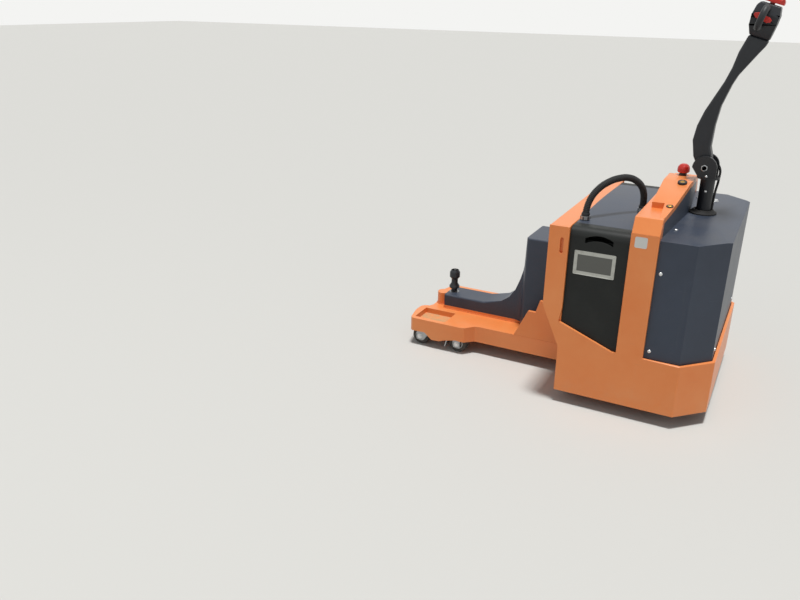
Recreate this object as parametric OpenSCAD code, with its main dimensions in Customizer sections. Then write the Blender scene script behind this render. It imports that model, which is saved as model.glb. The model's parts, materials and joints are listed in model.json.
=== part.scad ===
// Pedestrian tow tractor, battery electric, with a low hitch tongue.
// +X points to the tiller end, -X to the hitch end, +Z up, floor at z = 0.
// Millimetres. The origin is under the middle of the overall length.

/* [Body] */
// Overall width over the skirt
body_w = 800; // [740:5:900]
// Length of the skirt, from its hitch end to the rear wall
skirt_len = 504; // [490:2:560]
// Height of the skirt wall
skirt_h = 189; // [170:1:210]
// Clearance between floor and skirt
ground_gap = 45; // [35:1:60]
// Leg of the 45 degree cut at each rear corner
corner_cut = 96; // [70:1:110]
// Thickness of the outer body plates
plate_t = 10; // [8:0.5:12]
// Height of the deck over the battery
deck_z = 644; // [620:1:670]
// Depth of the front wall of the battery bay
bulkhead_d = 66; // [50:1:80]
// Length of the battery bay
bay_len = 199; // [190:1:206]
// Width of the upright behind the battery bay
post_w = 88; // [76:1:96]
// Height of the floor pan's underside
pan_z = 150; // [146:1:156]

/* [Dash] */
// Height above the deck where the upright starts to lean inwards
lean_rise = 11; // [6:1:20]
// How far the leaning side of the beam comes inwards
lean_in = 26; // [15:1:40]
// Height of the cross beam's top above the deck
beam_rise = 61; // [51:1:68]
// Height of the console's crown above the beam
crown_rise = 60; // [50:1:63]
// Height of the console's turned-down rear edge
edge_h = 18; // [12:1:24]

/* [Tongue] */
// Length of the tongue in front of the skirt
tongue_len = 684; // [620:2:740]
// Width of the tongue at its feet
foot_w = 436; // [400:2:470]
// Width of the tongue's waist
waist_w = 346; // [320:2:380]
// Height of the tongue's top
tongue_z = 117; // [112:1:125]
// Height of the tongue's lower edge
tongue_low = 50; // [46:1:56]
// Depth of the pocket in each foot
pocket_d = 22; // [12:1:26]

/* [Hitch] */
// Distance of the tow pin from the skirt
pin_back = 570; // [540:1:576]
// Diameter of the tow pin
pin_d = 25; // [20:0.5:32]
// Height of the coupling face that the towbar eye lies on
eye_z = 178; // [170:1:190]
// Free height between the coupling face and the knob
eye_gap = 18; // [14:0.5:24]
// Width of the tow box
tow_box_w = 110; // [90:1:118]

/* [Wheels] */
// Diameter of the drive wheel
drive_d = 230; // [210:2:236]
// Width of the drive wheel
drive_w = 75; // [60:1:80]
// Diameter of the four load wheels in the tongue
load_d = 72; // [60:1:76]
// Width of each load wheel
load_w = 45; // [36:1:48]
// Distance between the two load wheels of each foot
load_gap = 165; // [158:1:175]
// Diameter of the castor wheels
castor_d = 100; // [90:1:104]
// Width of each castor wheel
castor_w = 32; // [24:1:36]
// Distance of the steering axis from the skirt's hitch end
steer_back = 360; // [350:1:366]

/* [Tiller] */
// Diameter of the steering column
column_d = 48; // [42:1:54]
// Height of the tiller's pivot above the console's crown
pivot_rise = 48; // [42:1:65]
// Height of the foot of the tiller's head above the pivot
arm_rise = 427; // [400:1:460]

/* [Hidden] */
$fn = 48;

// Places that follow from the driving sizes
half_w = body_w / 2;
tip_x = -(tongue_len + skirt_len) / 2;
skirt_x = tip_x + tongue_len;
steer_x = skirt_x + steer_back;
pin_x = skirt_x - pin_back;
skirt_top = ground_gap + skirt_h;
post_x = skirt_x + bay_len;
bay_mid_x = skirt_x + bay_len / 2;
post_top_z = deck_z + lean_rise;
beam_z = deck_z + beam_rise;
console_z = beam_z + crown_rise;
pivot_z = console_z + pivot_rise;

// Clearances
seat = 0.3;
side_gap = 2;
cover_gap = 8;

// Colours
orange = "#e07b3c";
slate = "#3d4655";
black = "#222426";
steel = "#8d9094";
red = "#c23222";
rubber = "#2d2d2d";

// Polygon in X and Z, extruded along Y
module slab_y(points, y0, y1) {
    rotate([90, 0, 0]) translate([0, 0, -y1]) linear_extrude(y1 - y0) polygon(points);
}

// Polygon in Y and Z, extruded along X
module slab_x(points, x0, x1) {
    translate([x0, 0, 0]) rotate([90, 0, 90]) linear_extrude(x1 - x0) polygon(points);
}

// Cylinder along Y through a point
module rod_y(x, z, d, y0, y1) {
    translate([x, y1, z]) rotate([90, 0, 0]) cylinder(d = d, h = y1 - y0);
}

module both_sides() {
    children();
    mirror([0, 1, 0]) children();
}

function arc(cx, cy, r, a0, a1, n) =
    [for (i = [0:n]) let (a = a0 + (a1 - a0) * i / n) [cx + r * cos(a), cy + r * sin(a)]];

// Outline of the body in plan, moved inwards by an even distance
function body_outline(inset) =
    let (
        h = half_w - inset,
        rear = skirt_x + skirt_len - inset,
        cut = corner_cut - inset * (2 - sqrt(2)),
        front = skirt_x + inset
    )
    [[front, -h], [rear - cut, -h], [rear, cut - h], [rear, h - cut], [rear - cut, h], [front, h]];

// Body plates

lip_rise = 74;
lip_run = 190;
cheek_z = 360;
cheek_low_z = 215;
slot_len = 55;
slot_w = 12;

module side_plate_shape() {
    polygon([
        [skirt_x, skirt_top - plate_t], [post_x, skirt_top - plate_t],
        [post_x + post_w, skirt_top - plate_t], [post_x + post_w, post_top_z],
        [post_x, post_top_z], [post_x, skirt_top],
        [skirt_x - 6 + lip_run, skirt_top], [skirt_x - 6, skirt_top + lip_rise],
        [skirt_x + 2, skirt_top + lip_rise + 50], [skirt_x + 2, deck_z],
        [skirt_x - bulkhead_d, deck_z], [skirt_x - bulkhead_d, cheek_z],
        [skirt_x, cheek_low_z]
    ]);
}

// Outline of a rectangle about the middle, with its corners cut
function bevelled(length, width, cut) =
    let (x = length / 2, y = width / 2)
    [
        [cut - x, -y], [x - cut, -y], [x, cut - y], [x, y - cut],
        [x - cut, y], [cut - x, y], [-x, y - cut], [-x, cut - y]
    ];

// Slot with round ends, upright in the drawing plane
module stadium(w, h) {
    square([w, h - w], center = true);
    for (side = [-1, 1]) translate([0, side * (h - w) / 2]) circle(d = w);
}

module skirt_shell() color(orange) {
    difference() {
        translate([0, 0, ground_gap]) linear_extrude(skirt_h) polygon(body_outline(0));
        translate([0, 0, ground_gap - 1]) linear_extrude(skirt_h + 2)
            polygon(body_outline(plate_t));
    }
    both_sides() translate([0, plate_t - half_w, 0]) rotate([90, 0, 0])
        linear_extrude(plate_t) difference() {
            side_plate_shape();
            translate([skirt_x - 20, deck_z - 65]) stadium(slot_w, slot_len);
        }
}

wall_t = 8;

module bulkhead() color(orange) {
    front_x = skirt_x - bulkhead_d;
    inner_w = half_w - plate_t;
    difference() {
        slab_y([[front_x, cheek_z], [skirt_x, skirt_top], [skirt_x, deck_z], [front_x, deck_z]],
            -inner_w, inner_w);
        slab_y([[front_x + wall_t, cheek_z - 200], [skirt_x - wall_t, cheek_z - 200],
            [skirt_x - wall_t, deck_z - wall_t], [front_x + wall_t, deck_z - wall_t]],
            wall_t - inner_w, inner_w - wall_t);
    }
}

pan_t = 8;
drive_hole_r = 128;

module floor_pan() color(orange) difference() {
    translate([0, 0, pan_z]) linear_extrude(pan_t) polygon(body_outline(plate_t));
    translate([steer_x, 0, pan_z - 1]) cylinder(r = drive_hole_r, h = pan_t + 2, $fn = 96);
}

beam_foot_z = deck_z - 4;
flange_w = 40;

module inner_frame() color(orange) {
    low_z = pan_z + pan_t;
    translate([post_x, plate_t - half_w, low_z])
        cube([wall_t, body_w - 2 * plate_t, beam_foot_z - low_z]);
    both_sides() translate([post_x + post_w - wall_t, plate_t - half_w, low_z])
        cube([wall_t, flange_w, beam_foot_z - low_z]);
}

module dash_beam() color(orange) {
    inner_w = half_w - plate_t;
    difference() {
        slab_x([
            [-inner_w, beam_foot_z], [-inner_w, post_top_z], [-half_w, post_top_z],
            [lean_in - half_w, beam_z], [half_w - lean_in, beam_z],
            [half_w, post_top_z], [inner_w, post_top_z], [inner_w, beam_foot_z]
        ], post_x, post_x + post_w);
        slab_x([
            [wall_t - inner_w, beam_foot_z - 1], [wall_t - inner_w, post_top_z],
            [lean_in + wall_t - half_w, beam_z - wall_t],
            [half_w - lean_in - wall_t, beam_z - wall_t],
            [inner_w - wall_t, post_top_z], [inner_w - wall_t, beam_foot_z - 1]
        ], post_x + wall_t, post_x + post_w - wall_t);
    }
}

console_half = 236;
console_run = 355;
console_nose = 40;
crown_half = 60;
console_shoulder_z = beam_z + 19;
console_back = 31;

function console_plan() =
    let (front = post_x + 24, neck = post_x + 64, rear = post_x + post_w)
    [
        [neck + 8, -console_run], [rear, -console_run], [rear + console_back, -console_nose],
        [rear + console_back, console_nose], [rear, console_run], [neck + 8, console_run],
        [neck, console_half], [front, console_half], [front, -console_half],
        [neck, -console_half]
    ];

// Section of the console across its width, from a level up to its roof, lowered by a drop
function roof_section(low_z, drop) = [
    [-console_run, low_z], [-console_run, beam_z - drop], [-console_half, console_shoulder_z - drop],
    [-crown_half, console_z - drop], [crown_half, console_z - drop],
    [console_half, console_shoulder_z - drop], [console_run, beam_z - drop], [console_run, low_z]
];

// Room behind the beam under the console's overhanging edge, moved inwards by an even distance
module overhang(inset) {
    rear = post_x + post_w + seat;
    translate([0, 0, cover_z - 20]) linear_extrude(console_z - cover_z + 30) polygon([
        [rear, inset - console_run], [rear + console_back - inset, -console_nose],
        [rear + console_back - inset, console_nose], [rear, console_run - inset]
    ]);
}

module console() color(orange) {
    rear = post_x + post_w;
    intersection() {
        translate([0, 0, beam_z]) linear_extrude(crown_rise) polygon(console_plan());
        slab_x(roof_section(beam_z - 1, 0), post_x, rear);
    }
    intersection() {
        translate([0, 0, cover_z]) linear_extrude(console_z - cover_z) polygon(console_plan());
        difference() {
            slab_x(roof_section(cover_z, 0), rear, rear + console_back + 1);
            slab_x(roof_section(cover_z - 1, edge_h), rear - 1, rear + console_back + 2);
        }
    }
}

// Battery and covers

battery_gap = 6;
side_cover_t = 5;
shoulder_r = 30;
shoulder_w = 62;
hand_hole_w = 92;

lid_t = 14;
lid_crown = 8;
lid_low_z = deck_z - lid_t + 4;

module battery() color(black) {
    low_z = pan_z + pan_t;
    depth = bay_len - plate_t - side_gap - battery_gap;
    top_z = deck_z - 44;
    translate([skirt_x + plate_t + side_gap, 34 - half_w, low_z])
        cube([depth, body_w - 68, top_z - low_z]);
    translate([skirt_x + plate_t + side_gap, 100 - half_w, top_z])
        cube([depth, body_w - 200, lid_low_z - top_z]);
}

module hand_hole_shape() {
    difference() {
        translate([0, -60]) circle(r = 92, $fn = 96);
        translate([0, -84]) circle(r = 98, $fn = 96);
    }
}

module battery_side_covers() color(black) {
    out_y = half_w - plate_t - side_gap;
    low_z = pan_z + pan_t;
    both_sides() difference() {
        slab_x(concat(
            [[-out_y, low_z]],
            arc(shoulder_r - out_y, deck_z - shoulder_r, shoulder_r, 180, 90, 8),
            [[shoulder_w - out_y, deck_z], [shoulder_w - out_y, deck_z - side_cover_t]],
            arc(shoulder_r - out_y, deck_z - shoulder_r, shoulder_r - side_cover_t, 90, 180, 8),
            [[side_cover_t - out_y, low_z]]
        ), skirt_x + side_gap, post_x - side_gap);
        translate([bay_mid_x, 20 - out_y, deck_z - 52]) rotate([90, 0, 0])
            linear_extrude(40) intersection() {
                hand_hole_shape();
                translate([-hand_hole_w / 2, -40]) square([hand_hole_w, 100]);
            }
        translate([skirt_x, -half_w, low_z - 1])
            cube([plate_t + side_gap, 2 * plate_t, skirt_top + side_gap - low_z + 1]);
    }
}

module battery_lid() color(slate) {
    lid_half = half_w - plate_t - side_gap - shoulder_w - 1;
    crown_r = (lid_half * lid_half + lid_crown * lid_crown) / (2 * lid_crown);
    span = asin(lid_half / crown_r);
    slab_x(concat(
        [[lid_half, lid_low_z], [-lid_half, lid_low_z]],
        arc(0, deck_z + lid_crown - crown_r, crown_r, 90 + span, 90 - span, 16)
    ), skirt_x + side_gap, post_x - side_gap);
}

cover_inset = 12;
cover_t = 5;
cover_low_z = 200;
cover_z = deck_z - 5;
cover_rise = 12;
upstand_gap = 3;

function cover_outline(inset) =
    let (o = body_outline(cover_inset + inset), front = post_x + post_w + seat - inset)
    [[front, o[0][1]], o[1], o[2], o[3], o[4], [front, o[5][1]]];

module cover_upstand(inset) {
    rear = post_x + post_w;
    intersection() {
        overhang(upstand_gap + inset);
        slab_x(roof_section(cover_z - 20 - inset, edge_h + seat + inset),
            rear + seat - inset, rear + console_back);
    }
}

module cover_form(inset, low_z) {
    top = cover_z - inset;
    rear = skirt_x + skirt_len;
    intersection() {
        translate([0, 0, low_z]) linear_extrude(top + cover_rise - low_z)
            polygon(cover_outline(inset));
        slab_x([[-half_w, low_z], [-half_w, top], [-60, top + cover_rise],
            [60, top + cover_rise], [half_w, top], [half_w, low_z]], skirt_x, rear);
        slab_y([[skirt_x, low_z], [skirt_x, top + cover_rise], [steer_x + 40, top + cover_rise],
            [rear, top], [rear, low_z]], -half_w, half_w);
    }
}

module rear_cover() color(slate) difference() {
    union() {
        cover_form(0, cover_low_z);
        cover_upstand(0);
    }
    cover_form(cover_t, cover_low_z - 1);
    cover_upstand(cover_t);
    translate([steer_x, 0, cover_z - 40]) cylinder(d = column_d + 2 * cover_gap, h = 80);
    translate([steer_x, 0, cover_z + cover_rise])
        cylinder(r = column_d / 2 + boot_w + side_gap, h = boot_h + side_gap);
}

boot_w = 22;
boot_h = 14;

module column_boot() color(rubber) translate([steer_x, 0, cover_z + cover_rise])
    rotate_extrude() polygon([
        [column_d / 2 + 5, 0], [column_d / 2 + boot_w, 0], [column_d / 2 + boot_w, 4],
        [column_d / 2 + boot_w - 6, 7], [column_d / 2 + 9, boot_h], [column_d / 2 + 5, boot_h]
    ]);

// Tongue

side_t = 10;
bend_out_x = 445;
bend_in_x = 382;
gusset_x = 237;
notch_r = 45;
foot_gap = 45;
pocket_len = 135;
pocket_w = 105;
pocket_t = 5;
foot_round = 30;

function tongue_side(inset) = [
    [skirt_x, waist_w / 2 - inset],
    [skirt_x - bend_in_x, waist_w / 2 - inset],
    [skirt_x - bend_in_x - 16, waist_w / 2 + 4 - inset],
    [skirt_x - bend_out_x + 16, foot_w / 2 - 4 - inset],
    [skirt_x - bend_out_x, foot_w / 2 - inset],
    [tip_x + 26 + inset / 2, foot_w / 2 - inset],
    [tip_x + 16 + inset, foot_w / 2 - 10 - inset / 2],
    [tip_x + inset, 132]
];

function tongue_half(inset) = concat(
    tongue_side(inset),
    arc(tip_x + foot_round + inset, 95, foot_round, 180, 270, 6),
    [[tip_x + 39 + inset, foot_gap]]
);

function mirrored(points) = [for (i = [len(points) - 1:-1:0]) [points[i][0], -points[i][1]]];

function tongue_outline(inset) = concat(tongue_half(inset), mirrored(tongue_half(inset)));

function tongue_skirt_line() = [
    [tip_x - 1, tongue_low + 10], [tip_x + 82, tongue_low + 12], [tip_x + 114, tongue_low - 14],
    [tip_x + 146, tongue_low - 13], [tip_x + 176, tongue_low - 3], [tip_x + 220, tongue_low + 7],
    [tip_x + 300, tongue_low], [skirt_x + 1, tongue_low], [skirt_x + 1, tongue_z + 10],
    [tip_x - 1, tongue_z + 10]
];

pocket_x = tip_x + 29;
pocket_y = 92;

module tongue() color(orange) difference() {
    intersection() {
        translate([0, 0, tongue_low - 20]) linear_extrude(tongue_z - tongue_low + 20)
            polygon(tongue_outline(0));
        slab_y(tongue_skirt_line(), -foot_w, foot_w);
    }
    difference() {
        translate([0, 0, tongue_low - 30]) linear_extrude(tongue_z - side_t - tongue_low + 30)
            polygon(concat(
                [[skirt_x + 2, waist_w / 2 - side_t]],
                [for (p = tongue_side(side_t)) if (p[0] < skirt_x - 1) p],
                [[tip_x + side_t, -132]],
                [for (p = mirrored(tongue_side(side_t)))
                    if (p[0] < skirt_x - 1 && p[0] > tip_x + 12) p],
                [[skirt_x + 2, side_t - waist_w / 2]]
            ));
        both_sides() translate([pocket_x - pocket_t, pocket_y - pocket_t,
            tongue_z - pocket_d - pocket_t])
            cube([pocket_len + 2 * pocket_t, pocket_w + 2 * pocket_t, pocket_d + pocket_t]);
        both_sides() translate([tip_x, foot_gap - 4, tongue_low - 40])
            cube([80, 60 - foot_gap, 100]);
    }
    both_sides() translate([pocket_x, pocket_y, tongue_z - pocket_d])
        cube([pocket_len, pocket_w, pocket_d + 1]);
}

gusset_t = 12;

module gussets() color(orange) both_sides()
    slab_y([
        [skirt_x - gusset_x, tongue_z], [skirt_x - 186, 227], [skirt_x - 157, 227],
        [skirt_x - 143, 277], [skirt_x - 115, 277], [skirt_x - bulkhead_d, cheek_z],
        [skirt_x, skirt_top], [skirt_x, tongue_z]
    ], -waist_w / 2, gusset_t - waist_w / 2);

fairing_t = 4;
rail_h = 13;
rail_nose = 23;
fairing_nose = 20;
pin_gap = 0.5;
shank_d = pin_d - 1;

module tow_box() color(orange) difference() {
    union() {
        translate([pin_x - rail_nose, -tow_box_w / 2, tongue_z])
            cube([pin_back + rail_nose - gusset_x, tow_box_w, rail_h]);
        translate([pin_x - fairing_nose + fairing_t + seat, fairing_t + 1 - tow_box_w / 2, tongue_z])
            cube([60, tow_box_w - 2 * fairing_t - 2, eye_z - fairing_t - seat - tongue_z]);
    }
    translate([pin_x, 0, tongue_z - 1]) cylinder(d = shank_d + 2 * pin_gap, h = eye_z - tongue_z + 2);
}

post_d = 50;

module nose_post() color(orange)
    translate([pin_x - rail_nose - post_d / 2, 0, tongue_z]) cylinder(d = post_d, h = 52);

knob_d = 43;
knob_h = 78;

module tow_pin() color(black) translate([pin_x, 0, 0]) {
    translate([0, 0, tongue_z + seat]) cylinder(d = shank_d, h = eye_z - tongue_z);
    translate([0, 0, eye_z]) cylinder(d = pin_d, h = eye_gap + 1);
    translate([0, 0, eye_z + eye_gap]) rotate_extrude() polygon([
        [0, 0], [knob_d / 2, 0], [knob_d / 2, 8], [knob_d / 2 - 8, 20],
        [knob_d / 2 - 8, 38], [knob_d / 2, 48], [knob_d / 2, 68],
        [knob_d / 2 - 6, knob_h], [0, knob_h]
    ]);
}

upright_half = 100;
fairing_top_z = 491;

// Bends down the fairing's nose: distance from the skirt, height above the coupling face
nose_bends = [[244, 195], [262, 132], [282, 80], [305, 44], [340, 18], [416, 0]];
fairing_reach = 240;

// Side view of the fairing, moved inwards by an even distance
function fairing_side(inset) = concat([
    [skirt_x - bulkhead_d, fairing_top_z - inset],
    [skirt_x - fairing_reach + inset, fairing_top_z - inset]],
    [for (i = [0:len(nose_bends) - 1]) let (bend = nose_bends[i], flat = i / (len(nose_bends) - 1))
        [skirt_x - bend[0] + inset * (1 - flat), eye_z + bend[1] - inset * flat]], [
    [pin_x - fairing_nose + inset, eye_z - inset],
    [pin_x - fairing_nose + inset, tongue_z + rail_h + seat - inset],
    [skirt_x - gusset_x + seat + inset, tongue_z + rail_h + seat - inset],
    [skirt_x - gusset_x + seat + inset, tongue_z - inset],
    [skirt_x - bulkhead_d, tongue_z - inset]
]);

function fairing_plan(inset) =
    let (half = tow_box_w / 2 - inset, wide = upright_half - inset, nose = skirt_x - 246 + inset)
    concat(
        [[pin_x - fairing_nose + inset, -half], [nose - 30, -half], [nose - 6, -half - 10],
        [nose + 14, -wide], [skirt_x - bulkhead_d - seat + inset, -wide],
        [skirt_x - bulkhead_d - seat + inset, wide], [nose + 14, wide],
        [nose - 6, half + 10], [nose - 30, half], [pin_x - fairing_nose + inset, half]]
    );

module fairing_form(inset) {
    intersection() {
        slab_y(fairing_side(inset), -upright_half, upright_half);
        translate([0, 0, tongue_z - 20]) linear_extrude(fairing_top_z) polygon(fairing_plan(inset));
    }
}

module fairing() color(slate) difference() {
    fairing_form(0);
    fairing_form(fairing_t);
    translate([pin_x, 0, eye_z - 20]) cylinder(d = pin_d + 4 * pin_gap, h = 40);
}

// Wheels of the tongue

load_x = tip_x + 57;
load_y = foot_w / 2 - side_t - 33;
load_axle_d = 16;
fork_t = 5;
fork_half = load_w / 2 + 5 + fork_t;
cheek_half = 14;
guard_t = 4;

module tread_wheel(d, w, bore, edge, groove) {
    rotate([90, 0, 0]) rotate_extrude($fn = 96) polygon([
        [bore / 2, -w / 2 + groove], [bore / 2 + 8, -w / 2], [d / 2 - 14, -w / 2],
        [d / 2 - 12, -w / 2 + groove], [d / 2 - 8, -w / 2 + groove], [d / 2 - edge, -w / 2],
        [d / 2, -w / 2 + edge], [d / 2, w / 2 - edge], [d / 2 - edge, w / 2],
        [d / 2 - 8, w / 2 - groove], [d / 2 - 12, w / 2 - groove], [d / 2 - 14, w / 2],
        [bore / 2 + 8, w / 2], [bore / 2, w / 2 - groove]
    ]);
}

module load_wheel(back = 0) {
    translate([load_x + back, -load_y, load_d / 2])
        tread_wheel(load_d, load_w, load_axle_d + 2 * seat, 3, 1);
}

module load_wheel_near() color(rubber) load_wheel();
module load_wheel_far() color(rubber) mirror([0, 1, 0]) load_wheel();
module load_wheel_rear_near() color(rubber) load_wheel(load_gap);
module load_wheel_rear_far() color(rubber) mirror([0, 1, 0]) load_wheel(load_gap);

// Two plates of one outline, one on each side of a load wheel
module fork_cheeks(points) for (side = [-1, 1])
    translate([0, side * (fork_half - fork_t / 2) - load_y, 0])
        slab_y(points, -fork_t / 2, fork_t / 2);

// Fork and axle of one load wheel: its cheeks reach up to seat_z, leaning rearwards by lean
module load_fork(x, seat_z, lean) {
    fork_cheeks([
        [x - cheek_half, load_d / 2 - cheek_half], [x + cheek_half, load_d / 2 - cheek_half],
        [x + cheek_half + lean, seat_z - 16], [x + cheek_half + lean, seat_z],
        [x - cheek_half, seat_z]
    ]);
    rod_y(x, load_d / 2, load_axle_d, -load_y - fork_half, fork_half - load_y);
}

module load_wheel_brackets() color(steel) both_sides() {
    rear = load_x + load_gap;
    rear_seat_z = tongue_z - side_t;
    guard_foot = rear - load_d / 2 - 18;
    load_fork(load_x, tongue_z - pocket_d - pocket_t, 46);
    load_fork(rear, rear_seat_z, 0);
    // Sloping guard in front of the rear wheel, joined to its fork by a second pair of plates
    slab_y([
        [guard_foot, 18], [guard_foot + guard_t, 16],
        [rear - 28 + guard_t, rear_seat_z], [rear - 28, rear_seat_z]
    ], -load_y - fork_half, fork_half - load_y);
    fork_cheeks([
        [rear - 32, rear_seat_z - 21], [rear - 10, rear_seat_z - 21],
        [rear - 10, rear_seat_z], [rear - 26, rear_seat_z]
    ]);
}

// Drive unit

mount_z = 244;
mount_t = 10;
hub_d = 180;
ring_w = 22;
ring_h = 12;
flange_t = 10;
housing_gap = 6;
housing_d = 110;
arm_t = 46;
drive_axle_d = 40;
motor_d = 150;
motor_h = 200;
motor_z = mount_z + mount_t + ring_h + flange_t + seat;
mount_half = 205;

module drive_mount() color(orange) {
    front = post_x + wall_t;
    depth = skirt_x + skirt_len - cover_inset - cover_t - cover_gap - front;
    difference() {
        translate([front, -mount_half, mount_z]) cube([depth, 2 * mount_half, mount_t]);
        translate([steer_x, 0, mount_z - 1]) cylinder(d = hub_d + 10, h = mount_t + 2, $fn = 96);
    }
    for (side = [-1, 1])
        translate([front, side * (mount_half - wall_t / 2) - wall_t / 2, pan_z + pan_t])
            cube([depth, wall_t, mount_z - pan_z - pan_t]);
}

module slew_ring() color(steel) translate([steer_x, 0, mount_z + mount_t]) difference() {
    cylinder(d = hub_d + 2 * ring_w, h = ring_h, $fn = 96);
    translate([0, 0, -1]) cylinder(d = hub_d + 2 * seat, h = ring_h + 2, $fn = 96);
}

module drive_housing() color(black) translate([steer_x, 0, 0]) {
    flange_z = mount_z + mount_t + ring_h + seat;
    arm_y = drive_w / 2 + housing_gap;
    translate([0, 0, drive_d + 6]) cylinder(d = hub_d, h = flange_z - drive_d - 6, $fn = 96);
    translate([0, 0, flange_z]) cylinder(d = hub_d + 20, h = flange_t, $fn = 96);
    rod_y(0, drive_d / 2, housing_d, arm_y, arm_y + arm_t);
    translate([-housing_d / 2, arm_y, drive_d / 2]) cube([housing_d, arm_t, drive_d / 2 + 8]);
    rod_y(0, drive_d / 2, drive_axle_d, 4 - drive_w / 2, arm_y + 1);
}

module drive_motor() color(black) translate([steer_x, 0, motor_z]) {
    cylinder(d = motor_d, h = motor_h);
    for (a = [0:30:330]) rotate(a) translate([motor_d / 2 - 1, -2, 20])
        cube([6, 4, motor_h - 50]);
}

module drive_wheel() color(rubber) translate([steer_x, 0, drive_d / 2])
    tread_wheel(drive_d, drive_w, drive_axle_d + 2 * seat, 5, 2);

// Castors

castor_back = 330;
castor_y = 296;
castor_offset = 34;
castor_x = skirt_x + castor_back;
castor_plate_t = 6;
castor_top_z = 138;
castor_stem_d = 24;
castor_axle_d = 12;

module castor_plates() color(steel) both_sides() translate([castor_x, -castor_y, 0]) {
    difference() {
        translate([-45, -40, pan_z - castor_plate_t]) cube([90, 80, castor_plate_t]);
        for (dx = [-34, 34], dy = [-29, 29])
            translate([dx, dy, pan_z - castor_plate_t - 1]) cylinder(d = 8.5, h = 10, $fn = 24);
    }
    difference() {
        translate([0, 0, castor_top_z]) cylinder(d = 56, h = pan_z - castor_plate_t - castor_top_z);
        translate([0, 0, castor_top_z - 1]) cylinder(d = castor_stem_d + 2 * seat, h = 8);
    }
}

module castor_fork() translate([castor_x, -castor_y, 0]) {
    crown_z = castor_top_z - seat;
    translate([0, 0, crown_z - 5]) cylinder(d = 54, h = 5);
    translate([0, 0, crown_z - 1]) cylinder(d = castor_stem_d, h = 6);
    for (side = [-1, 1])
        slab_y([
            [-26, crown_z], [26, crown_z], [castor_offset + 12, castor_d / 2 + 12],
            [castor_offset + 12, castor_d / 2 - 12], [castor_offset - 12, castor_d / 2 - 12],
            [castor_offset - 18, castor_d / 2 + 6], [-20, crown_z - 12]
        ], side * (castor_w / 2 + 5) - 2, side * (castor_w / 2 + 5) + 2);
    slab_y([[-26, crown_z], [26, crown_z], [26, crown_z - 4], [-26, crown_z - 4]],
        -castor_w / 2 - 7, castor_w / 2 + 7);
    rod_y(castor_offset, castor_d / 2, castor_axle_d, -castor_w / 2 - 9, castor_w / 2 + 9);
}

module castor_wheel() translate([castor_x + castor_offset, -castor_y, castor_d / 2])
    tread_wheel(castor_d, castor_w, castor_axle_d + 2 * seat, 4, 1);

module castor_fork_near() color(steel) castor_fork();
module castor_fork_far() color(steel) mirror([0, 1, 0]) castor_fork();
module castor_wheel_near() color(rubber) castor_wheel();
module castor_wheel_far() color(rubber) mirror([0, 1, 0]) castor_wheel();

// Steering column and tiller

motor_top_z = motor_z + motor_h;
clevis_w = 78;
cheek_t = 10;
pivot_d = 16;
pivot_x = steer_x - 14;

column_top_z = pivot_z - 40;

module steering_column() color(black) translate([steer_x, 0, motor_top_z])
    cylinder(d = column_d, h = column_top_z - motor_top_z);

module tiller_clevis() color(black) {
    translate([steer_x, 0, column_top_z]) cylinder(d = clevis_w - 2, h = 8);
    for (side = [-1, 1])
        slab_y(concat(
            [[steer_x - 30, column_top_z + 7], [steer_x + 26, column_top_z + 7]],
            arc(pivot_x, pivot_z, 40, 0, 180, 16)
        ), side * (clevis_w / 2 - cheek_t / 2) - cheek_t / 2,
            side * (clevis_w / 2 - cheek_t / 2) + cheek_t / 2);
    rod_y(pivot_x, pivot_z, pivot_d, -clevis_w / 2 - 4, clevis_w / 2 + 4);
}

arm_w = 50;
head_tilt = 16;
head_reach = 79;
head_foot_z = pivot_z + arm_rise;

// Bends of the arm: distance behind the pivot, height above it
front_bends = [[-54, 87], [-47, 137], [-30, 187], [16, 283], [32, 327], [44, 377]];
rear_bends = [[119, 395], [104, 375], [83, 345], [54, 303], [40, 272], [18, 204], [9, 139], [7, 67]];

// Point on the seam under the head, at a distance along it from the head's middle
function seam(along) = [
    pivot_x + head_reach + along * cos(head_tilt), head_foot_z - along * sin(head_tilt)
];

module tiller_arm() color(black) difference() {
    slab_y(concat(
        [[pivot_x - 32, pivot_z + 10], [pivot_x - 44, pivot_z + 34]],
        [for (bend = front_bends) [pivot_x + bend[0], pivot_z + bend[1]]],
        [seam(head_front), seam(head_rear)],
        [for (bend = rear_bends) [pivot_x + bend[0], pivot_z + bend[1]]],
        arc(pivot_x, pivot_z, 26, 30, -210, 14)
    ), -arm_w / 2, arm_w / 2);
    rod_y(pivot_x, pivot_z, pivot_d + 2 * seat, -arm_w, arm_w);
}

module on_head() translate([pivot_x + head_reach, 0, head_foot_z]) rotate([0, head_tilt, 0])
    children();

head_front = -14;
head_rear = 50;
paddle_d = 12;
paddle_x = 4;
paddle_z = 58;
pad_x = 9;
pad_len = 70;
pad_w = 72;
pad_t = 20;
pad_stem_d = 16;
pad_travel = 5;
head_h = 100;
head_half = 47;

module head_form() {
    intersection() {
        slab_x([
            [-26, 0], [26, 0], [head_half - 7, 24], [head_half, 50], [head_half, 70],
            [36, head_h], [-36, head_h], [-head_half, 70], [-head_half, 50], [7 - head_half, 24]
        ], -60, 60);
        slab_y([
            [head_front, 0], [-27, 28], [-32, 58], [-30, 88], [-22, head_h], [40, head_h],
            [48, 75], [head_rear, 48], [head_rear, 0]
        ], -60, 60);
    }
}

module tiller_head() color(black) difference() {
    on_head() difference() {
        head_form();
        rod_y(paddle_x, paddle_z, paddle_d + 2 * seat, -60, 60);
    }
    on_head() translate([pad_x, 0, head_h - 20]) cylinder(d = pad_stem_d + 2 * seat, h = 30);
}

grip_d = 20;
grip_reach = 92;
grip_rise = 30;

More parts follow.
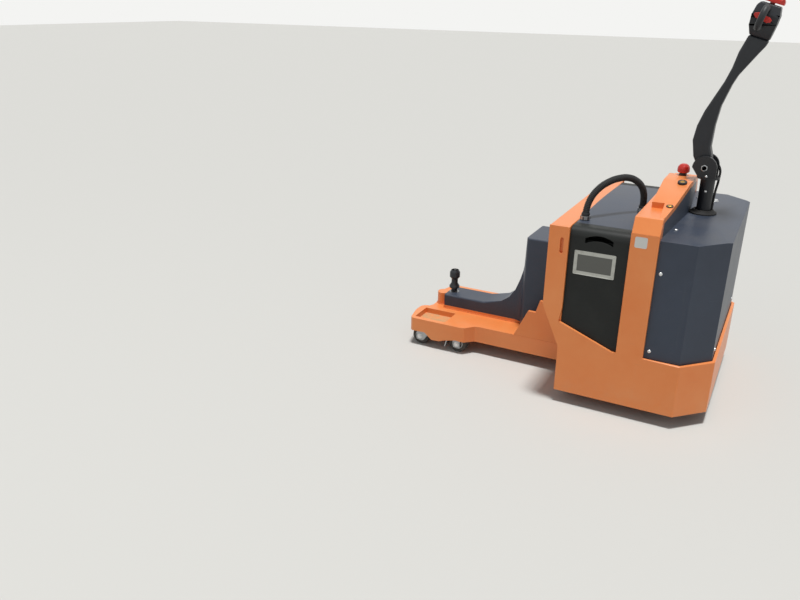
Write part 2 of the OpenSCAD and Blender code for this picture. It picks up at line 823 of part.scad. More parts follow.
module tiller_grips() color(black) on_head() both_sides() difference() {
    union() {
        for (side = [-1, 1])
            rod_y(paddle_x, paddle_z + side * grip_rise, grip_d, 30, grip_reach);
        translate([paddle_x, grip_reach, paddle_z]) rotate([0, 90, 0])
            rotate_extrude(angle = 180) translate([grip_rise, 0]) circle(d = grip_d);
    }
    head_form();
}

// Side view of a pad with rounded shoulders, over a length about its middle
function pad_side(length) = [
    [-length / 2, 0], [length / 2, 0], [length / 2, pad_t - 11], [length / 2 - 3, pad_t - 5],
    [length / 2 - 9, pad_t - 1], [length / 2 - 15, pad_t], [15 - length / 2, pad_t],
    [9 - length / 2, pad_t - 1], [3 - length / 2, pad_t - 5], [-length / 2, pad_t - 11]
];

module belly_button() color(red) on_head() translate([pad_x, 0, head_h]) {
    translate([0, 0, pad_travel + seat]) intersection() {
        slab_y(pad_side(pad_len), -pad_w, pad_w);
        slab_x(pad_side(pad_w), -pad_len, pad_len);
        linear_extrude(pad_t) polygon(bevelled(pad_len, pad_w, 12));
    }
    translate([0, 0, -13]) cylinder(d = pad_stem_d, h = pad_travel + 14);
}

wing_len = 56;
wing_turn = 8;
wing_y = head_half + 5;
wing_t = 17;
wing_w = 16;

module throttle() color(red) on_head() {
    rod_y(paddle_x, paddle_z, paddle_d, -wing_y - wing_w, wing_y + wing_w);
    both_sides() translate([paddle_x, wing_y, paddle_z]) rotate([0, wing_turn, 0]) slab_y([
        [-wing_len / 2, -3], [-wing_len / 3, -wing_t / 2], [wing_len / 3, -wing_t / 2],
        [wing_len / 2, -3], [wing_len / 2, 3], [wing_len / 3, wing_t / 2],
        [-wing_len / 3, wing_t / 2], [-wing_len / 2, 3]
    ], 0, wing_w);
}

// Controls on the console

estop_x = skirt_x + 270;
estop_y = 46;
estop_travel = 5;
estop_stem = 10;
estop_base_d = 26;
estop_h = 14;
cup_d = 42;
cup_h = 30;

module estop_base() color(black) translate([estop_x, estop_y, console_z])
    difference() {
        cylinder(d = estop_base_d, h = estop_h);
        translate([0, 0, 2]) cylinder(d = estop_stem + 2 * seat, h = estop_h);
    }

// Mushroom button whose rim comes down round its base
module estop_button() color(red) translate([estop_x, estop_y, console_z]) {
    roof = estop_h + estop_travel + seat;
    rim = roof - 9;
    cup = cup_d / 2;
    translate([0, 0, 3 + estop_travel]) cylinder(d = estop_stem, h = roof - estop_travel);
    translate([0, 0, rim]) rotate_extrude() polygon([
        [0, 9], [estop_base_d / 2 + 2, 9], [estop_base_d / 2 + 2, 0], [cup - 3, 0],
        [cup, 4], [cup, 14], [cup - 2, 21], [cup - 7, 27], [cup - 13, cup_h], [0, cup_h]
    ]);
}

key_x = skirt_x + 288;
key_y = 77;
roof_slope = atan((console_z - console_shoulder_z) / (console_half - crown_half));

// The lock stands square to the sloping roof, with its slot along X
module key_switch() color(steel)
    translate([key_x, -key_y, console_z - (key_y - crown_half) * tan(roof_slope)])
        rotate([roof_slope, 0, 0]) difference() {
            rotate_extrude() polygon([
                [0, 0], [15, 0], [15, 5], [12, 7], [9, 7], [9, 4], [0, 4]
            ]);
            translate([-5, -1, 2]) cube([10, 2, 6]);
        }

cable_d = 24;
gland_h = 12;

// Route of the cable over the lid, from the skirt's hitch end and the deck
cable_route = [
    [20, -283, 15.2], [21, -277, 40], [28, -264, 72], [46, -242, 103], [72, -214, 124],
    [98, -184, 133], [124, -155, 132], [146, -131, 119], [162, -113, 98], [170, -102, 72],
    [172, -97, 46], [172, -96, 19.8]
];

module cable_glands() color(steel) {
    for (end = [cable_route[0], cable_route[len(cable_route) - 1]])
        translate([skirt_x + end[0], end[1], deck_z + end[2] - gland_h])
            cylinder(d = cable_d + 8, h = gland_h);
}

function unit(v) = v / norm(v);

function route_dir(i) =
    let (last = len(cable_route) - 1)
    i == 0 ? [0, 0, 1] : i == last ? [0, 0, -1] : unit(cable_route[i + 1] - cable_route[i - 1]);

function ring_points(i, sides) =
    let (
        along = route_dir(i),
        across = unit(cross([0.66, -0.75, 0], along)),
        other = cross(along, across)
    )
    [for (k = [0:sides - 1]) let (a = 360 * k / sides)
        cable_route[i] + (across * cos(a) + other * sin(a)) * cable_d / 2];

module power_cable() color(black) translate([skirt_x, 0, deck_z]) {
    sides = 10;
    rings = len(cable_route);
    points = [for (i = [0:rings - 1]) each ring_points(i, sides)];
    faces = concat(
        [[for (k = [0:sides - 1]) k]],
        [for (i = [0:rings - 2], k = [0:sides - 1])
            [i * sides + k, (i + 1) * sides + k, (i + 1) * sides + (k + 1) % sides,
            i * sides + (k + 1) % sides]],
        [[for (k = [sides - 1:-1:0]) (rings - 1) * sides + k]]
    );
    polyhedron(points, faces);
}

skirt_shell();
bulkhead();
floor_pan();
inner_frame();
dash_beam();
console();
battery();
battery_side_covers();
battery_lid();
rear_cover();
column_boot();
tongue();
gussets();
tow_box();
nose_post();
tow_pin();
fairing();
load_wheel_brackets();
load_wheel_near();
load_wheel_far();
load_wheel_rear_near();
load_wheel_rear_far();
drive_mount();
slew_ring();
drive_housing();
drive_motor();
drive_wheel();
castor_plates();
castor_fork_near();
castor_fork_far();
castor_wheel_near();
castor_wheel_far();
steering_column();
tiller_clevis();
tiller_arm();
tiller_head();
tiller_grips();
belly_button();
throttle();
estop_base();
estop_button();
key_switch();
cable_glands();
power_cable();
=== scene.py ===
"""Looks of the walk-behind tow tractor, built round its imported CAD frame."""
import json
import math

import bmesh
import bpy
from mathutils import Matrix, Vector
from mathutils.bvhtree import BVHTree


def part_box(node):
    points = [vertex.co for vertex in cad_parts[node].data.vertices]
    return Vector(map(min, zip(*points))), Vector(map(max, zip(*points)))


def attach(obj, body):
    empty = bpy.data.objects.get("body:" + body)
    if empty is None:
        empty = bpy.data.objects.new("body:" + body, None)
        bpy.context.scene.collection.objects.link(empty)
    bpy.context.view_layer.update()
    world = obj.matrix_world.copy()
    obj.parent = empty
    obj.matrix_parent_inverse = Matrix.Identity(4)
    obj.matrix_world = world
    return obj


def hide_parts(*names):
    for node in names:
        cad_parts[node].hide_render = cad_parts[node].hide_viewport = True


bl_info = {
    "name": "Walk-behind tow tractor",
    "version": (1, 0, 0),
    "blender": (4, 5, 0),
    "location": "View3D > Sidebar > Tractor",
    "description": "Finishes, fittings and stage for the walk-behind tow tractor",
    "category": "Object",
}

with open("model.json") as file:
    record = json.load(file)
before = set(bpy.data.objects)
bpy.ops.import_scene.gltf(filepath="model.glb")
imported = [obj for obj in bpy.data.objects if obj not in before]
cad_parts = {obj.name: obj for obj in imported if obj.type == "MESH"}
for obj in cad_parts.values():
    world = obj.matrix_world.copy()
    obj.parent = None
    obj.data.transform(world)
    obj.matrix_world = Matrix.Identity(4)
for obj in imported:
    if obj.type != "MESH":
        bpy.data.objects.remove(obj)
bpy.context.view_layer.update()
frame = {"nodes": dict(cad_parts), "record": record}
NODES = frame["nodes"]
SLOTS = {part["node"]: part["material_slot"] for part in frame["record"]["subparts"]}
BODY_OF = {node: body for body, nodes in frame["record"]["behaviour"]["bodies"].items()
           for node in nodes}

PHOTO_WIDTH = 800
SENSOR_WIDTH = 36.0
MM = 0.001


def middle(node):
    """Middle of a solid's box."""
    low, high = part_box(node)
    return (low + high) / 2


# Places on the machine, from the CAD solids
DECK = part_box("battery_side_covers")[1].z
SIDE_COVER_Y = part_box("battery_side_covers")[1].y
COVER_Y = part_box("rear_cover")[1].y
POST_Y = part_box("skirt_shell")[1].y
TONGUE_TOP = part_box("tongue")[1].z
PIN_X = middle("tow_pin").x
COLUMN_X = middle("steering_column").x
COLUMN_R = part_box("steering_column")[1].x - COLUMN_X
CLEVIS_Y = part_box("tiller_clevis")[1].y
PIVOT = Vector(next(j["pos_m"] for j in frame["record"]["behaviour"]["joints"]
                    if j["name"] == "tiller_tilt"))
HEAD_TILT = math.radians(16)
HEAD_FOOT = Vector((PIVOT.x + 0.079, 0.0, PIVOT.z + 0.427))

# Places that the solids' boxes don't give
OVERHEAD = 0.9
PLATE = 12 * MM
COUPLING_Z = 0.178
PLAQUE_X, PLAQUE_Z = 0.1815, 0.5265
PLAQUE_SIZE = (0.137, 0.083)
PLAQUE_FIELD = (0.114, 0.057)
KEY_AT = (0.378, -0.077)
LOCK_AT = (0.3735, -0.2600)
CASTOR_X, CASTOR_Y = 0.42, 0.296
CASTOR_AXLE = (0.454, 0.05)
BOSS = 6 * MM
LOAD_AXLE_X = (-0.537, -0.372)
LOAD_AXLE_Z = 0.036


# Shader maths

def linear(hex_colour):
    """Scene-linear RGBA of a colour written as #rrggbb."""
    values = [int(hex_colour[i:i + 2], 16) / 255 for i in (1, 3, 5)]
    return tuple(v / 12.92 if v <= 0.04045 else ((v + 0.055) / 1.055) ** 2.4
                 for v in values) + (1.0,)


class Sock:
    """An output socket whose operators add Math nodes."""

    def __init__(self, shader, socket):
        self.shader = shader
        self.socket = socket

    def _math(self, operation, *values):
        return self.shader.node("ShaderNodeMath", {"operation": operation}, *values)

    def __add__(self, other):
        return self._math("ADD", self, other)

    def __sub__(self, other):
        return self._math("SUBTRACT", self, other)

    def __rsub__(self, other):
        return self._math("SUBTRACT", other, self)

    def __mul__(self, other):
        return self._math("MULTIPLY", self, other)

    __radd__ = __add__
    __rmul__ = __mul__

    def lift(self, low, high):
        """0 at low, 1 at high, clamped between."""
        return self.shader.node(
            "ShaderNodeMapRange", {"clamp": True},
            {"Value": self, "From Min": low, "From Max": high, "To Min": 0.0, "To Max": 1.0})

    def within(self, low, high, edge):
        """1 between low and high, fading to 0 over an edge outside them."""
        return self.lift(low - edge, low) * (1 - self.lift(high, high + edge))


class Shader:
    """One node material, made from Python expressions."""

    def __init__(self, name):
        self.material = bpy.data.materials.new(name)
        self.material.use_nodes = True
        self.tree = self.material.node_tree
        self.principled = self.tree.nodes["Principled BSDF"]
        self.place = self.node("ShaderNodeTexCoord", {}, output="Object")

    def node(self, kind, settings=None, *values, output=0):
        """Adds a node: settings first, then values or links by position or by name."""
        made = self.tree.nodes.new(kind)
        for key, value in (settings or {}).items():
            setattr(made, key, value)
        pairs = []
        for index, value in enumerate(values):
            pairs += list(value.items()) if isinstance(value, dict) else [(index, value)]
        for key, value in pairs:
            self.put(made.inputs[key], value)
        return Sock(self, made.outputs[output])

    def put(self, socket, value):
        """Links a socket or sets its value, which may be a colour written as #rrggbb."""
        if isinstance(value, Sock):
            self.tree.links.new(value.socket, socket)
        else:
            socket.default_value = linear(value) if isinstance(value, str) else value

    def noise(self, scale, detail, roughness, stretch=None):
        """Soft clouds from 0 to 1; stretch squeezes them along an axis."""
        where = self.place
        if stretch:
            where = self.node("ShaderNodeMapping", {}, {"Vector": where, "Scale": stretch})
        return self.node("ShaderNodeTexNoise", {}, {
            "Vector": where, "Scale": scale, "Detail": detail, "Roughness": roughness})

    def blend(self, factor, first, second):
        """Colour first where factor is 0 and second where it is 1."""
        made = self.tree.nodes.new("ShaderNodeMix")
        made.data_type = "RGBA"
        self.put(made.inputs[0], factor)
        self.put(made.inputs[6], first)
        self.put(made.inputs[7], second)
        return Sock(self, made.outputs[2])

    def axis(self, letter):
        """One coordinate of the point, in metres."""
        return self.node("ShaderNodeSeparateXYZ", {}, self.place, output="XYZ".index(letter))

    def facing_up(self):
        """1 on surfaces that look up, 0 on walls."""
        normal = self.node("ShaderNodeNewGeometry", {}, output="Normal")
        return self.node("ShaderNodeSeparateXYZ", {}, normal, output=2).lift(0.4, 0.95)

    def worn_edge(self, radius):
        """1 at sharp edges, 0 on flat surfaces."""
        rounded = self.node("ShaderNodeBevel", {"samples": 6}, {"Radius": radius})
        normal = self.node("ShaderNodeNewGeometry", {}, output="Normal")
        dot = self.node("ShaderNodeVectorMath", {"operation": "DOT_PRODUCT"}, rounded, normal,
                        output="Value")
        return (1 - dot).lift(0.02, 0.22)

    def bump(self, height, strength, distance):
        """A normal bent by a height."""
        return self.node("ShaderNodeBump", {}, {
            "Height": height, "Strength": strength, "Distance": distance})

    def finish(self, specular=0.5, **sockets):
        """Sets the sockets of the surface and gives the material."""
        self.principled.inputs["Specular IOR Level"].default_value = specular
        names = {"colour": "Base Color", "roughness": "Roughness", "metallic": "Metallic",
                 "coat": "Coat Weight", "normal": "Normal"}
        for key, value in sockets.items():
            self.put(self.principled.inputs[names[key]], value)
        return self.material


def painted(name, colour, faded, dust_colour, dust, chip_colour, chips, gloss, peel,
            specular):
    """Powder coat with faded patches, dust on what faces up, and rubbed edges."""
    s = Shader(name)
    clouds = s.noise(4.0, 4.0, 0.6).lift(0.35, 0.7)
    base = s.blend(clouds, colour, faded)
    dirt = s.facing_up() * s.noise(11.0, 6.0, 0.68).lift(0.42, 0.78) * dust
    low = (1 - s.axis("Z").lift(0.04, 0.15)) * s.noise(18.0, 5.0, 0.7).lift(0.38, 0.7) * dust
    runs = s.noise(26.0, 4.0, 0.65, (1.0, 1.0, 0.12)).lift(0.6, 0.8) * dust * 0.3
    dirty = s.blend((dirt + low + runs).lift(0.0, 1.0), base, dust_colour)
    edge = s.worn_edge(0.0022) * s.noise(48.0, 4.0, 0.7).lift(0.55, 0.68) * chips
    scratch = s.noise(10.0, 2.0, 0.5, (1.0, 1.0, 24.0)).lift(0.71, 0.735) * chips * 0.3
    worn = (edge + scratch).lift(0.0, 1.0)
    return s.finish(
        specular=specular,
        colour=s.blend(worn, dirty, chip_colour),
        roughness=gloss + dirt * 0.3 + clouds * 0.05 + worn * 0.2,
        normal=s.bump(s.noise(380.0, 2.0, 0.5), peel, 0.0005))


def pocket_paint(name, colour, faded, dust_colour, dust):
    """Paint of the tongue, whose foot pockets hold a bed of pale dust."""
    s = Shader(name)
    clouds = s.noise(4.0, 4.0, 0.6).lift(0.35, 0.7)
    base = s.blend(clouds, colour, faded)
    sunk = s.axis("Z").within(TONGUE_TOP - 0.026, TONGUE_TOP - 0.008, 0.006)
    bed = sunk * s.facing_up() * s.noise(30.0, 6.0, 0.7).lift(0.25, 0.6)
    reach = (s.axis("X") * -1).lift(0.30, 0.52) * 0.6
    scuff = s.facing_up() * s.noise(16.0, 6.0, 0.7).lift(0.45, 0.8) * (reach + dust)
    low = (1 - s.axis("Z").lift(0.04, 0.10)) * s.noise(18.0, 5.0, 0.7).lift(0.38, 0.7) * dust
    dirty = s.blend((bed * 0.9 + scuff * 0.5 + low).lift(0.0, 1.0), base, dust_colour)
    edge = s.worn_edge(0.0022) * s.noise(44.0, 4.0, 0.7).lift(0.52, 0.66) * 0.5
    return s.finish(
        colour=s.blend(edge, dirty, "#9c7a5e"),
        roughness=0.36 + bed * 0.45 + scuff * 0.2,
        normal=s.bump(s.noise(380.0, 2.0, 0.5), 0.1, 0.0005))


def moulded(name, colour, worn, gloss, grain, grain_scale=900.0, specular=0.4):
    """Moulded plastic with a fine grain and rubbed places."""
    s = Shader(name)
    rubbed = s.noise(11.0, 4.0, 0.6).lift(0.45, 0.8)
    dust = s.facing_up() * s.noise(30.0, 5.0, 0.7).lift(0.4, 0.8) * 0.35
    base = s.blend((rubbed * 0.5 + dust).lift(0.0, 1.0), colour, worn)
    return s.finish(
        specular=specular,
        colour=base,
        roughness=gloss + dust * 0.3 - rubbed * 0.08,
        normal=s.bump(s.noise(grain_scale, 2.0, 0.6), grain, 0.0004))


def bare_metal(name, colour, stain, gloss, brush):
    """Plated or bare metal, brushed along one direction, with dull stains."""
    s = Shader(name)
    lines = s.noise(90.0, 3.0, 0.6, brush)
    spots = s.noise(38.0, 5.0, 0.7).lift(0.5, 0.8)
    base = s.blend(spots * 0.6 + lines * 0.2, colour, stain)
    return s.finish(colour=base, roughness=gloss + lines * 0.15 + spots * 0.2, metallic=0.9,
                    normal=s.bump(lines, 0.15, 0.0003))


def rolled_rubber(name, colour, dust_colour, dust):
    """Solid tyre or boot rubber, scuffed and dusty."""
    s = Shader(name)
    grime = s.noise(24.0, 6.0, 0.7).lift(0.35, 0.75) * dust
    base = s.blend(grime, colour, dust_colour)
    return s.finish(colour=base, roughness=0.72 + grime * 0.2,
                    normal=s.bump(s.noise(300.0, 4.0, 0.6), 0.3, 0.0006))


def weld_metal(name, colour, scorch):
    """Painted weld seam with darker ripples between its beads."""
    s = Shader(name)
    spots = s.noise(120.0, 3.0, 0.6).lift(0.4, 0.7)
    return s.finish(colour=s.blend(spots * 0.5, colour, scorch),
                    roughness=0.42 + spots * 0.15, normal=s.bump(spots, 0.4, 0.0004))


def plate_metal(name, rim, field):
    """Metal plate with a bright rim and a darker blank field."""
    s = Shader(name)
    lines = s.noise(90.0, 3.0, 0.6, (14.0, 1.0, 1.0))
    half_x, half_z = PLAQUE_FIELD[0] / 2, PLAQUE_FIELD[1] / 2
    edge = 0.4 * MM
    inside = (s.axis("X").within(PLAQUE_X - half_x, PLAQUE_X + half_x, edge)
              * s.axis("Z").within(PLAQUE_Z - half_z, PLAQUE_Z + half_z, edge))
    spots = s.noise(38.0, 5.0, 0.7).lift(0.5, 0.8)
    base = s.blend(inside, rim, field)
    return s.finish(
        colour=s.blend(spots * 0.4 + lines * 0.15, base, "#5c5a55"),
        roughness=0.34 + lines * 0.15 + inside * 0.15, metallic=0.8 - inside * 0.5,
        normal=s.bump(lines, 0.15, 0.0003))


def finish_of(name):
    """A material that the finishes operator made."""
    return bpy.data.materials[name]


# Modelling by hand

def only(piece):
    """Selects one object and nothing else."""
    bpy.ops.object.select_all(action="DESELECT")
    piece.select_set(True)
    bpy.context.view_layer.objects.active = piece


def edit(piece, kind, test):
    """Enters edit mode with the faces, edges or corners that pass a test selected."""
    only(piece)
    bpy.ops.object.mode_set(mode="EDIT")
    bpy.ops.mesh.select_mode(type=kind)
    bpy.ops.mesh.select_all(action="DESELECT")
    mesh = bmesh.from_edit_mesh(piece.data)
    mesh.normal_update()
    items = {"VERT": mesh.verts, "EDGE": mesh.edges, "FACE": mesh.faces}[kind]
    for item in items:
        item.select_set(bool(test(item)))
    mesh.select_flush_mode()
    bmesh.update_edit_mesh(piece.data)


def done():
    """Leaves edit mode."""
    bpy.ops.object.mode_set(mode="OBJECT")


def outward():
    """Turns all faces outwards and leaves edit mode."""
    bpy.ops.mesh.select_all(action="SELECT")
    bpy.ops.mesh.normals_make_consistent(inside=False)
    done()


def settle(piece):
    """Puts the object's place, turn and scale into its mesh."""
    only(piece)
    bpy.ops.object.transform_apply(location=True, rotation=True, scale=True)
    return piece


def applied(piece, kind, **settings):
    """Adds a modifier and applies it."""
    only(piece)
    made = piece.modifiers.new(kind.lower(), kind)
    for key, value in settings.items():
        setattr(made, key, value)
    bpy.ops.object.modifier_apply(modifier=made.name)


def shaded(piece, angle=40.0):
    """Smooth shading with flat faces kept flat."""
    only(piece)
    bpy.ops.object.shade_smooth_by_angle(angle=math.radians(angle))
    applied(piece, "WEIGHTED_NORMAL", mode="FACE_AREA", weight=50, keep_sharp=True)


def ringed(name, rings, sides, closed=True):
    """A turned shape about Z: rings are (radius, height), each extruded from the one below."""
    radius, height = rings[0]
    bpy.ops.object.select_all(action="DESELECT")
    bpy.ops.mesh.primitive_circle_add(
        vertices=sides, radius=radius, location=(0.0, 0.0, height),
        fill_type="NGON" if closed else "NOTHING")
    piece = bpy.context.object
    piece.name = name
    settle(piece)
    edit(piece, "VERT", lambda v: True)
    for radius_next, height_next in rings[1:]:
        bpy.ops.mesh.extrude_region_move(
            TRANSFORM_OT_translate={"value": (0.0, 0.0, height_next - height)})
        scale = radius_next / radius
        bpy.ops.transform.resize(value=(scale, scale, 1.0),
                                 center_override=(0.0, 0.0, height_next))
        radius, height = radius_next, height_next
    outward()
    return piece


def band(name, rings, sides):
    """A turned ring: the last of its circles is bridged to the first."""
    piece = ringed(name, rings, sides, False)
    edit(piece, "EDGE", lambda e: e.is_boundary)
    bpy.ops.mesh.bridge_edge_loops()
    outward()
    shaded(piece)
    return piece


def slab(name, size, corner):
    """A plate in X and Y, standing on the floor of its own frame, with round corners."""
    bpy.ops.object.select_all(action="DESELECT")
    bpy.ops.mesh.primitive_cube_add(size=1.0, location=(0.0, 0.0, size[2] / 2), scale=size)
    piece = settle(bpy.context.object)
    piece.name = name
    edit(piece, "EDGE", lambda e: abs(e.verts[0].co.z - e.verts[1].co.z) > size[2] / 2)
    bpy.ops.mesh.bevel(offset=corner, segments=4, affect="EDGES")
    done()
    return piece


def turned_to(direction):
    """Turn that takes Z to a direction."""
    return Vector(direction).to_track_quat("Z", "Y").to_matrix().to_4x4()


def put(pattern, name, places):
    """Copies a pattern to every (point, direction), joins the copies and drops the pattern."""
    copies = []
    for point, direction in places:
        only(pattern)
        bpy.ops.object.duplicate(linked=False)
        copy = bpy.context.object
        copy.matrix_world = Matrix.Translation(point) @ turned_to(direction)
        copies.append(settle(copy))
    bpy.data.objects.remove(pattern)
    return joined(copies, name)


def joined(pieces, name):
    """Joins objects into the first."""
    bpy.ops.object.select_all(action="DESELECT")
    for piece in pieces:
        piece.select_set(True)
    bpy.context.view_layer.objects.active = pieces[0]
    if len(pieces) > 1:
        bpy.ops.object.join()
    pieces[0].name = name
    return pieces[0]


def given(piece, finish, body):
    """Finishes a piece and lets it ride on a body."""
    piece.data.materials.clear()
    piece.data.materials.append(finish_of(finish))
    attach(piece, body)
    return piece


def hexagon(name, across, height, washer):
    """A hexagon head with a turned chamfer, on a washer if that has a thickness."""
    corner = across / 2 / math.cos(math.pi / 6)
    head = ringed(name, [(corner, washer), (corner, washer + height * 0.8),
                         (corner * 0.90, washer + height), (corner * 0.6, washer + height)], 6)
    applied(head, "BEVEL", width=0.3 * MM, segments=2, limit_method="ANGLE",
            angle_limit=math.radians(30))
    if not washer:
        shaded(head)
        return head
    ring = ringed(name + "_washer", [
        (across * 0.70, 0.0), (across * 0.70, washer * 0.7), (across * 0.66, washer),
        (across * 0.5, washer)], 28)
    shaded(head)
    shaded(ring)
    return joined([head, ring], name)


def dome(name, diameter, height):
    """A dome screw with a round socket."""
    r = diameter / 2
    screw = ringed(name, [
        (r, 0.0), (r, height * 0.18), (r * 0.93, height * 0.52), (r * 0.76, height * 0.82),
        (r * 0.52, height), (r * 0.40, height), (r * 0.36, height * 0.90),
        (r * 0.34, height * 0.45), (r * 0.1, height * 0.40)], 24)
    shaded(screw)
    return screw


def path(name, points, smooth):
    """A curve through points, or a line of straight runs where smooth isn't set."""
    bpy.ops.object.select_all(action="DESELECT")
    bpy.ops.curve.primitive_bezier_curve_add(location=(0.0, 0.0, 0.0))
    curve = bpy.context.object
    curve.name = name
    spline = curve.data.splines[0]
    spline.bezier_points.add(len(points) - len(spline.bezier_points))
    for knot, point in zip(spline.bezier_points, points):
        knot.co = point
        knot.handle_left_type = knot.handle_right_type = "AUTO" if smooth else "VECTOR"
    curve.data.resolution_u = 16
    return curve


def ribbed(name, points, profile, pitch, sides, smooth=True):
    """A tube of equal ribs along a path: profile is (radius, share of the pitch)."""
    curve = path(name + "_path", points, smooth)
    length = curve.data.splines[0].calc_length()
    count = max(1, round(length / pitch))
    step = length / count
    piece = ringed(name, [(radius, share * step) for radius, share in profile], sides, False)
    applied(piece, "ARRAY", count=count, use_relative_offset=False, use_constant_offset=True,
            constant_offset_displace=(0.0, 0.0, step), use_merge_vertices=True,
            merge_threshold=step * 0.02)
    applied(piece, "CURVE", object=curve, deform_axis="POS_Z")
    bpy.data.objects.remove(curve)
    edit(piece, "EDGE", lambda e: e.is_boundary)
    bpy.ops.mesh.edge_face_add()
    outward()
    return piece


def landed(node, start, direction):
    """Point where a ray from start first meets a CAD solid, and the face's normal there."""
    mesh = NODES[node].data
    tree = BVHTree.FromPolygons([v.co for v in mesh.vertices],
                                [f.vertices for f in mesh.polygons])
    point, normal, _, _ = tree.ray_cast(Vector(start), Vector(direction))
    if point is None:
        raise ValueError("nothing of " + node + " lies there")
    return point, normal


def seat_on(node, x, y):
    """Point and normal where something set down on a solid from above comes to rest."""
    return landed(node, (x, y, OVERHEAD), (0.0, 0.0, -1.0))


def rounded(node, finish, edge, soft=0.0, segments=3, broad=5.0, free=False):
    """A copy of a solid with its edges rounded, which stands for it in the pictures.

    Long outer corners between faces as broad as so many soft radii get the soft radius, in full
    where free is set, and all others the edge radius.
    """
    mesh = NODES[node].data.copy()
    for key in list(mesh.keys()):
        del mesh[key]
    piece = bpy.data.objects.new("rounded_" + node, mesh)
    bpy.context.scene.collection.objects.link(piece)
    only(piece)
    bpy.ops.object.mode_set(mode="EDIT")
    bpy.ops.mesh.select_all(action="SELECT")
    bpy.ops.mesh.remove_doubles(threshold=0.00002)
    bpy.ops.mesh.dissolve_limited(angle_limit=math.radians(0.8))
    done()
    mesh.shade_flat()
    if soft:
        edit(piece, "EDGE", lambda e: outer_corner(e, soft, broad))
        bpy.ops.mesh.bevel(offset=soft, segments=segments + 1, affect="EDGES",
                           clamp_overlap=not free)
        done()
    applied(piece, "BEVEL", width=edge, segments=segments - 1, limit_method="ANGLE",
            angle_limit=math.radians(35), use_clamp_overlap=True, miter_outer="MITER_ARC")
    shaded(piece)
    given(piece, finish, BODY_OF[node])
    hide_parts(node)
    return piece


def outer_corner(edge, soft, broad):
    """True for a long convex corner between two faces that are broad beside it."""
    length = edge.calc_length()
    if len(edge.link_faces) != 2 or not edge.is_convex or length < broad * 1.6 * soft:
        return False
    if edge.calc_face_angle(0.0) < math.radians(20):
        return False
    return all(face.calc_area() / length > broad * soft for face in edge.link_faces)


# Sizes and colours to change

class TRACTOR_PG_finish(bpy.types.PropertyGroup):
    """Colours of the machine."""

    body_colour: bpy.props.FloatVectorProperty(
        name="Body", description="Colour of the painted plates", default=linear("#e68445"),
        size=4, min=0.0, max=1.0, subtype="COLOR")
    body_faded: bpy.props.FloatVectorProperty(
        name="Body, faded", description="Colour of the plates where the paint has faded",
        default=linear("#ea9053"), size=4, min=0.0, max=1.0, subtype="COLOR")
    cover_colour: bpy.props.FloatVectorProperty(
        name="Covers", description="Colour of the slate covers", default=linear("#363d4a"),
        size=4, min=0.0, max=1.0, subtype="COLOR")
    dust: bpy.props.FloatProperty(
        name="Dust", description="How much dust lies on the body", default=0.18, min=0.0, max=1.0,
        subtype="FACTOR")


class TRACTOR_PG_stage(bpy.types.PropertyGroup):
    """Camera and light."""

    camera_place: bpy.props.FloatVectorProperty(
        name="Camera", description="Place of the camera", default=(0.712, -2.788, 1.336),
        subtype="TRANSLATION", unit="LENGTH")
    focal_pixels: bpy.props.FloatProperty(
        name="Focal length", description="Focal length in pixels of the picture",
        default=759.9, subtype="PIXEL")
    pitch: bpy.props.FloatProperty(
        name="Pitch", description="How far the camera looks down",
        default=math.radians(21.71), subtype="ANGLE")
    yaw: bpy.props.FloatProperty(
        name="Yaw", description="How far the camera is turned to the left",
        default=math.radians(27.51), subtype="ANGLE")
    roll: bpy.props.FloatProperty(
        name="Roll", description="How far the camera leans", default=math.radians(0.9),
        subtype="ANGLE")


class TRACTOR_PG_sizes(bpy.types.PropertyGroup):
    """Sizes of the fittings."""

    plate_edge: bpy.props.FloatProperty(
        name="Plate edge", description="Rounding of a plate's cut edge", default=1.2 * MM,
        unit="LENGTH")
    plate_bend: bpy.props.FloatProperty(
        name="Plate bend", description="Outer radius of a bend in a thick plate",
        default=4.0 * MM, unit="LENGTH")
    cover_bend: bpy.props.FloatProperty(
        name="Cover bend", description="Outer radius of a bend in a cover", default=6.0 * MM,
        unit="LENGTH")
    screw_d: bpy.props.FloatProperty(
        name="Cover screw", description="Diameter of the dome screws of the covers",
        default=13.0 * MM, unit="LENGTH")
    cable_d: bpy.props.FloatProperty(
        name="Cable", description="Diameter of the battery cable's conduit", default=23.6 * MM,
        unit="LENGTH")
    weld: bpy.props.FloatProperty(
        name="Weld", description="Radius of a weld seam", default=2.6 * MM, unit="LENGTH")


# Stage and finishes

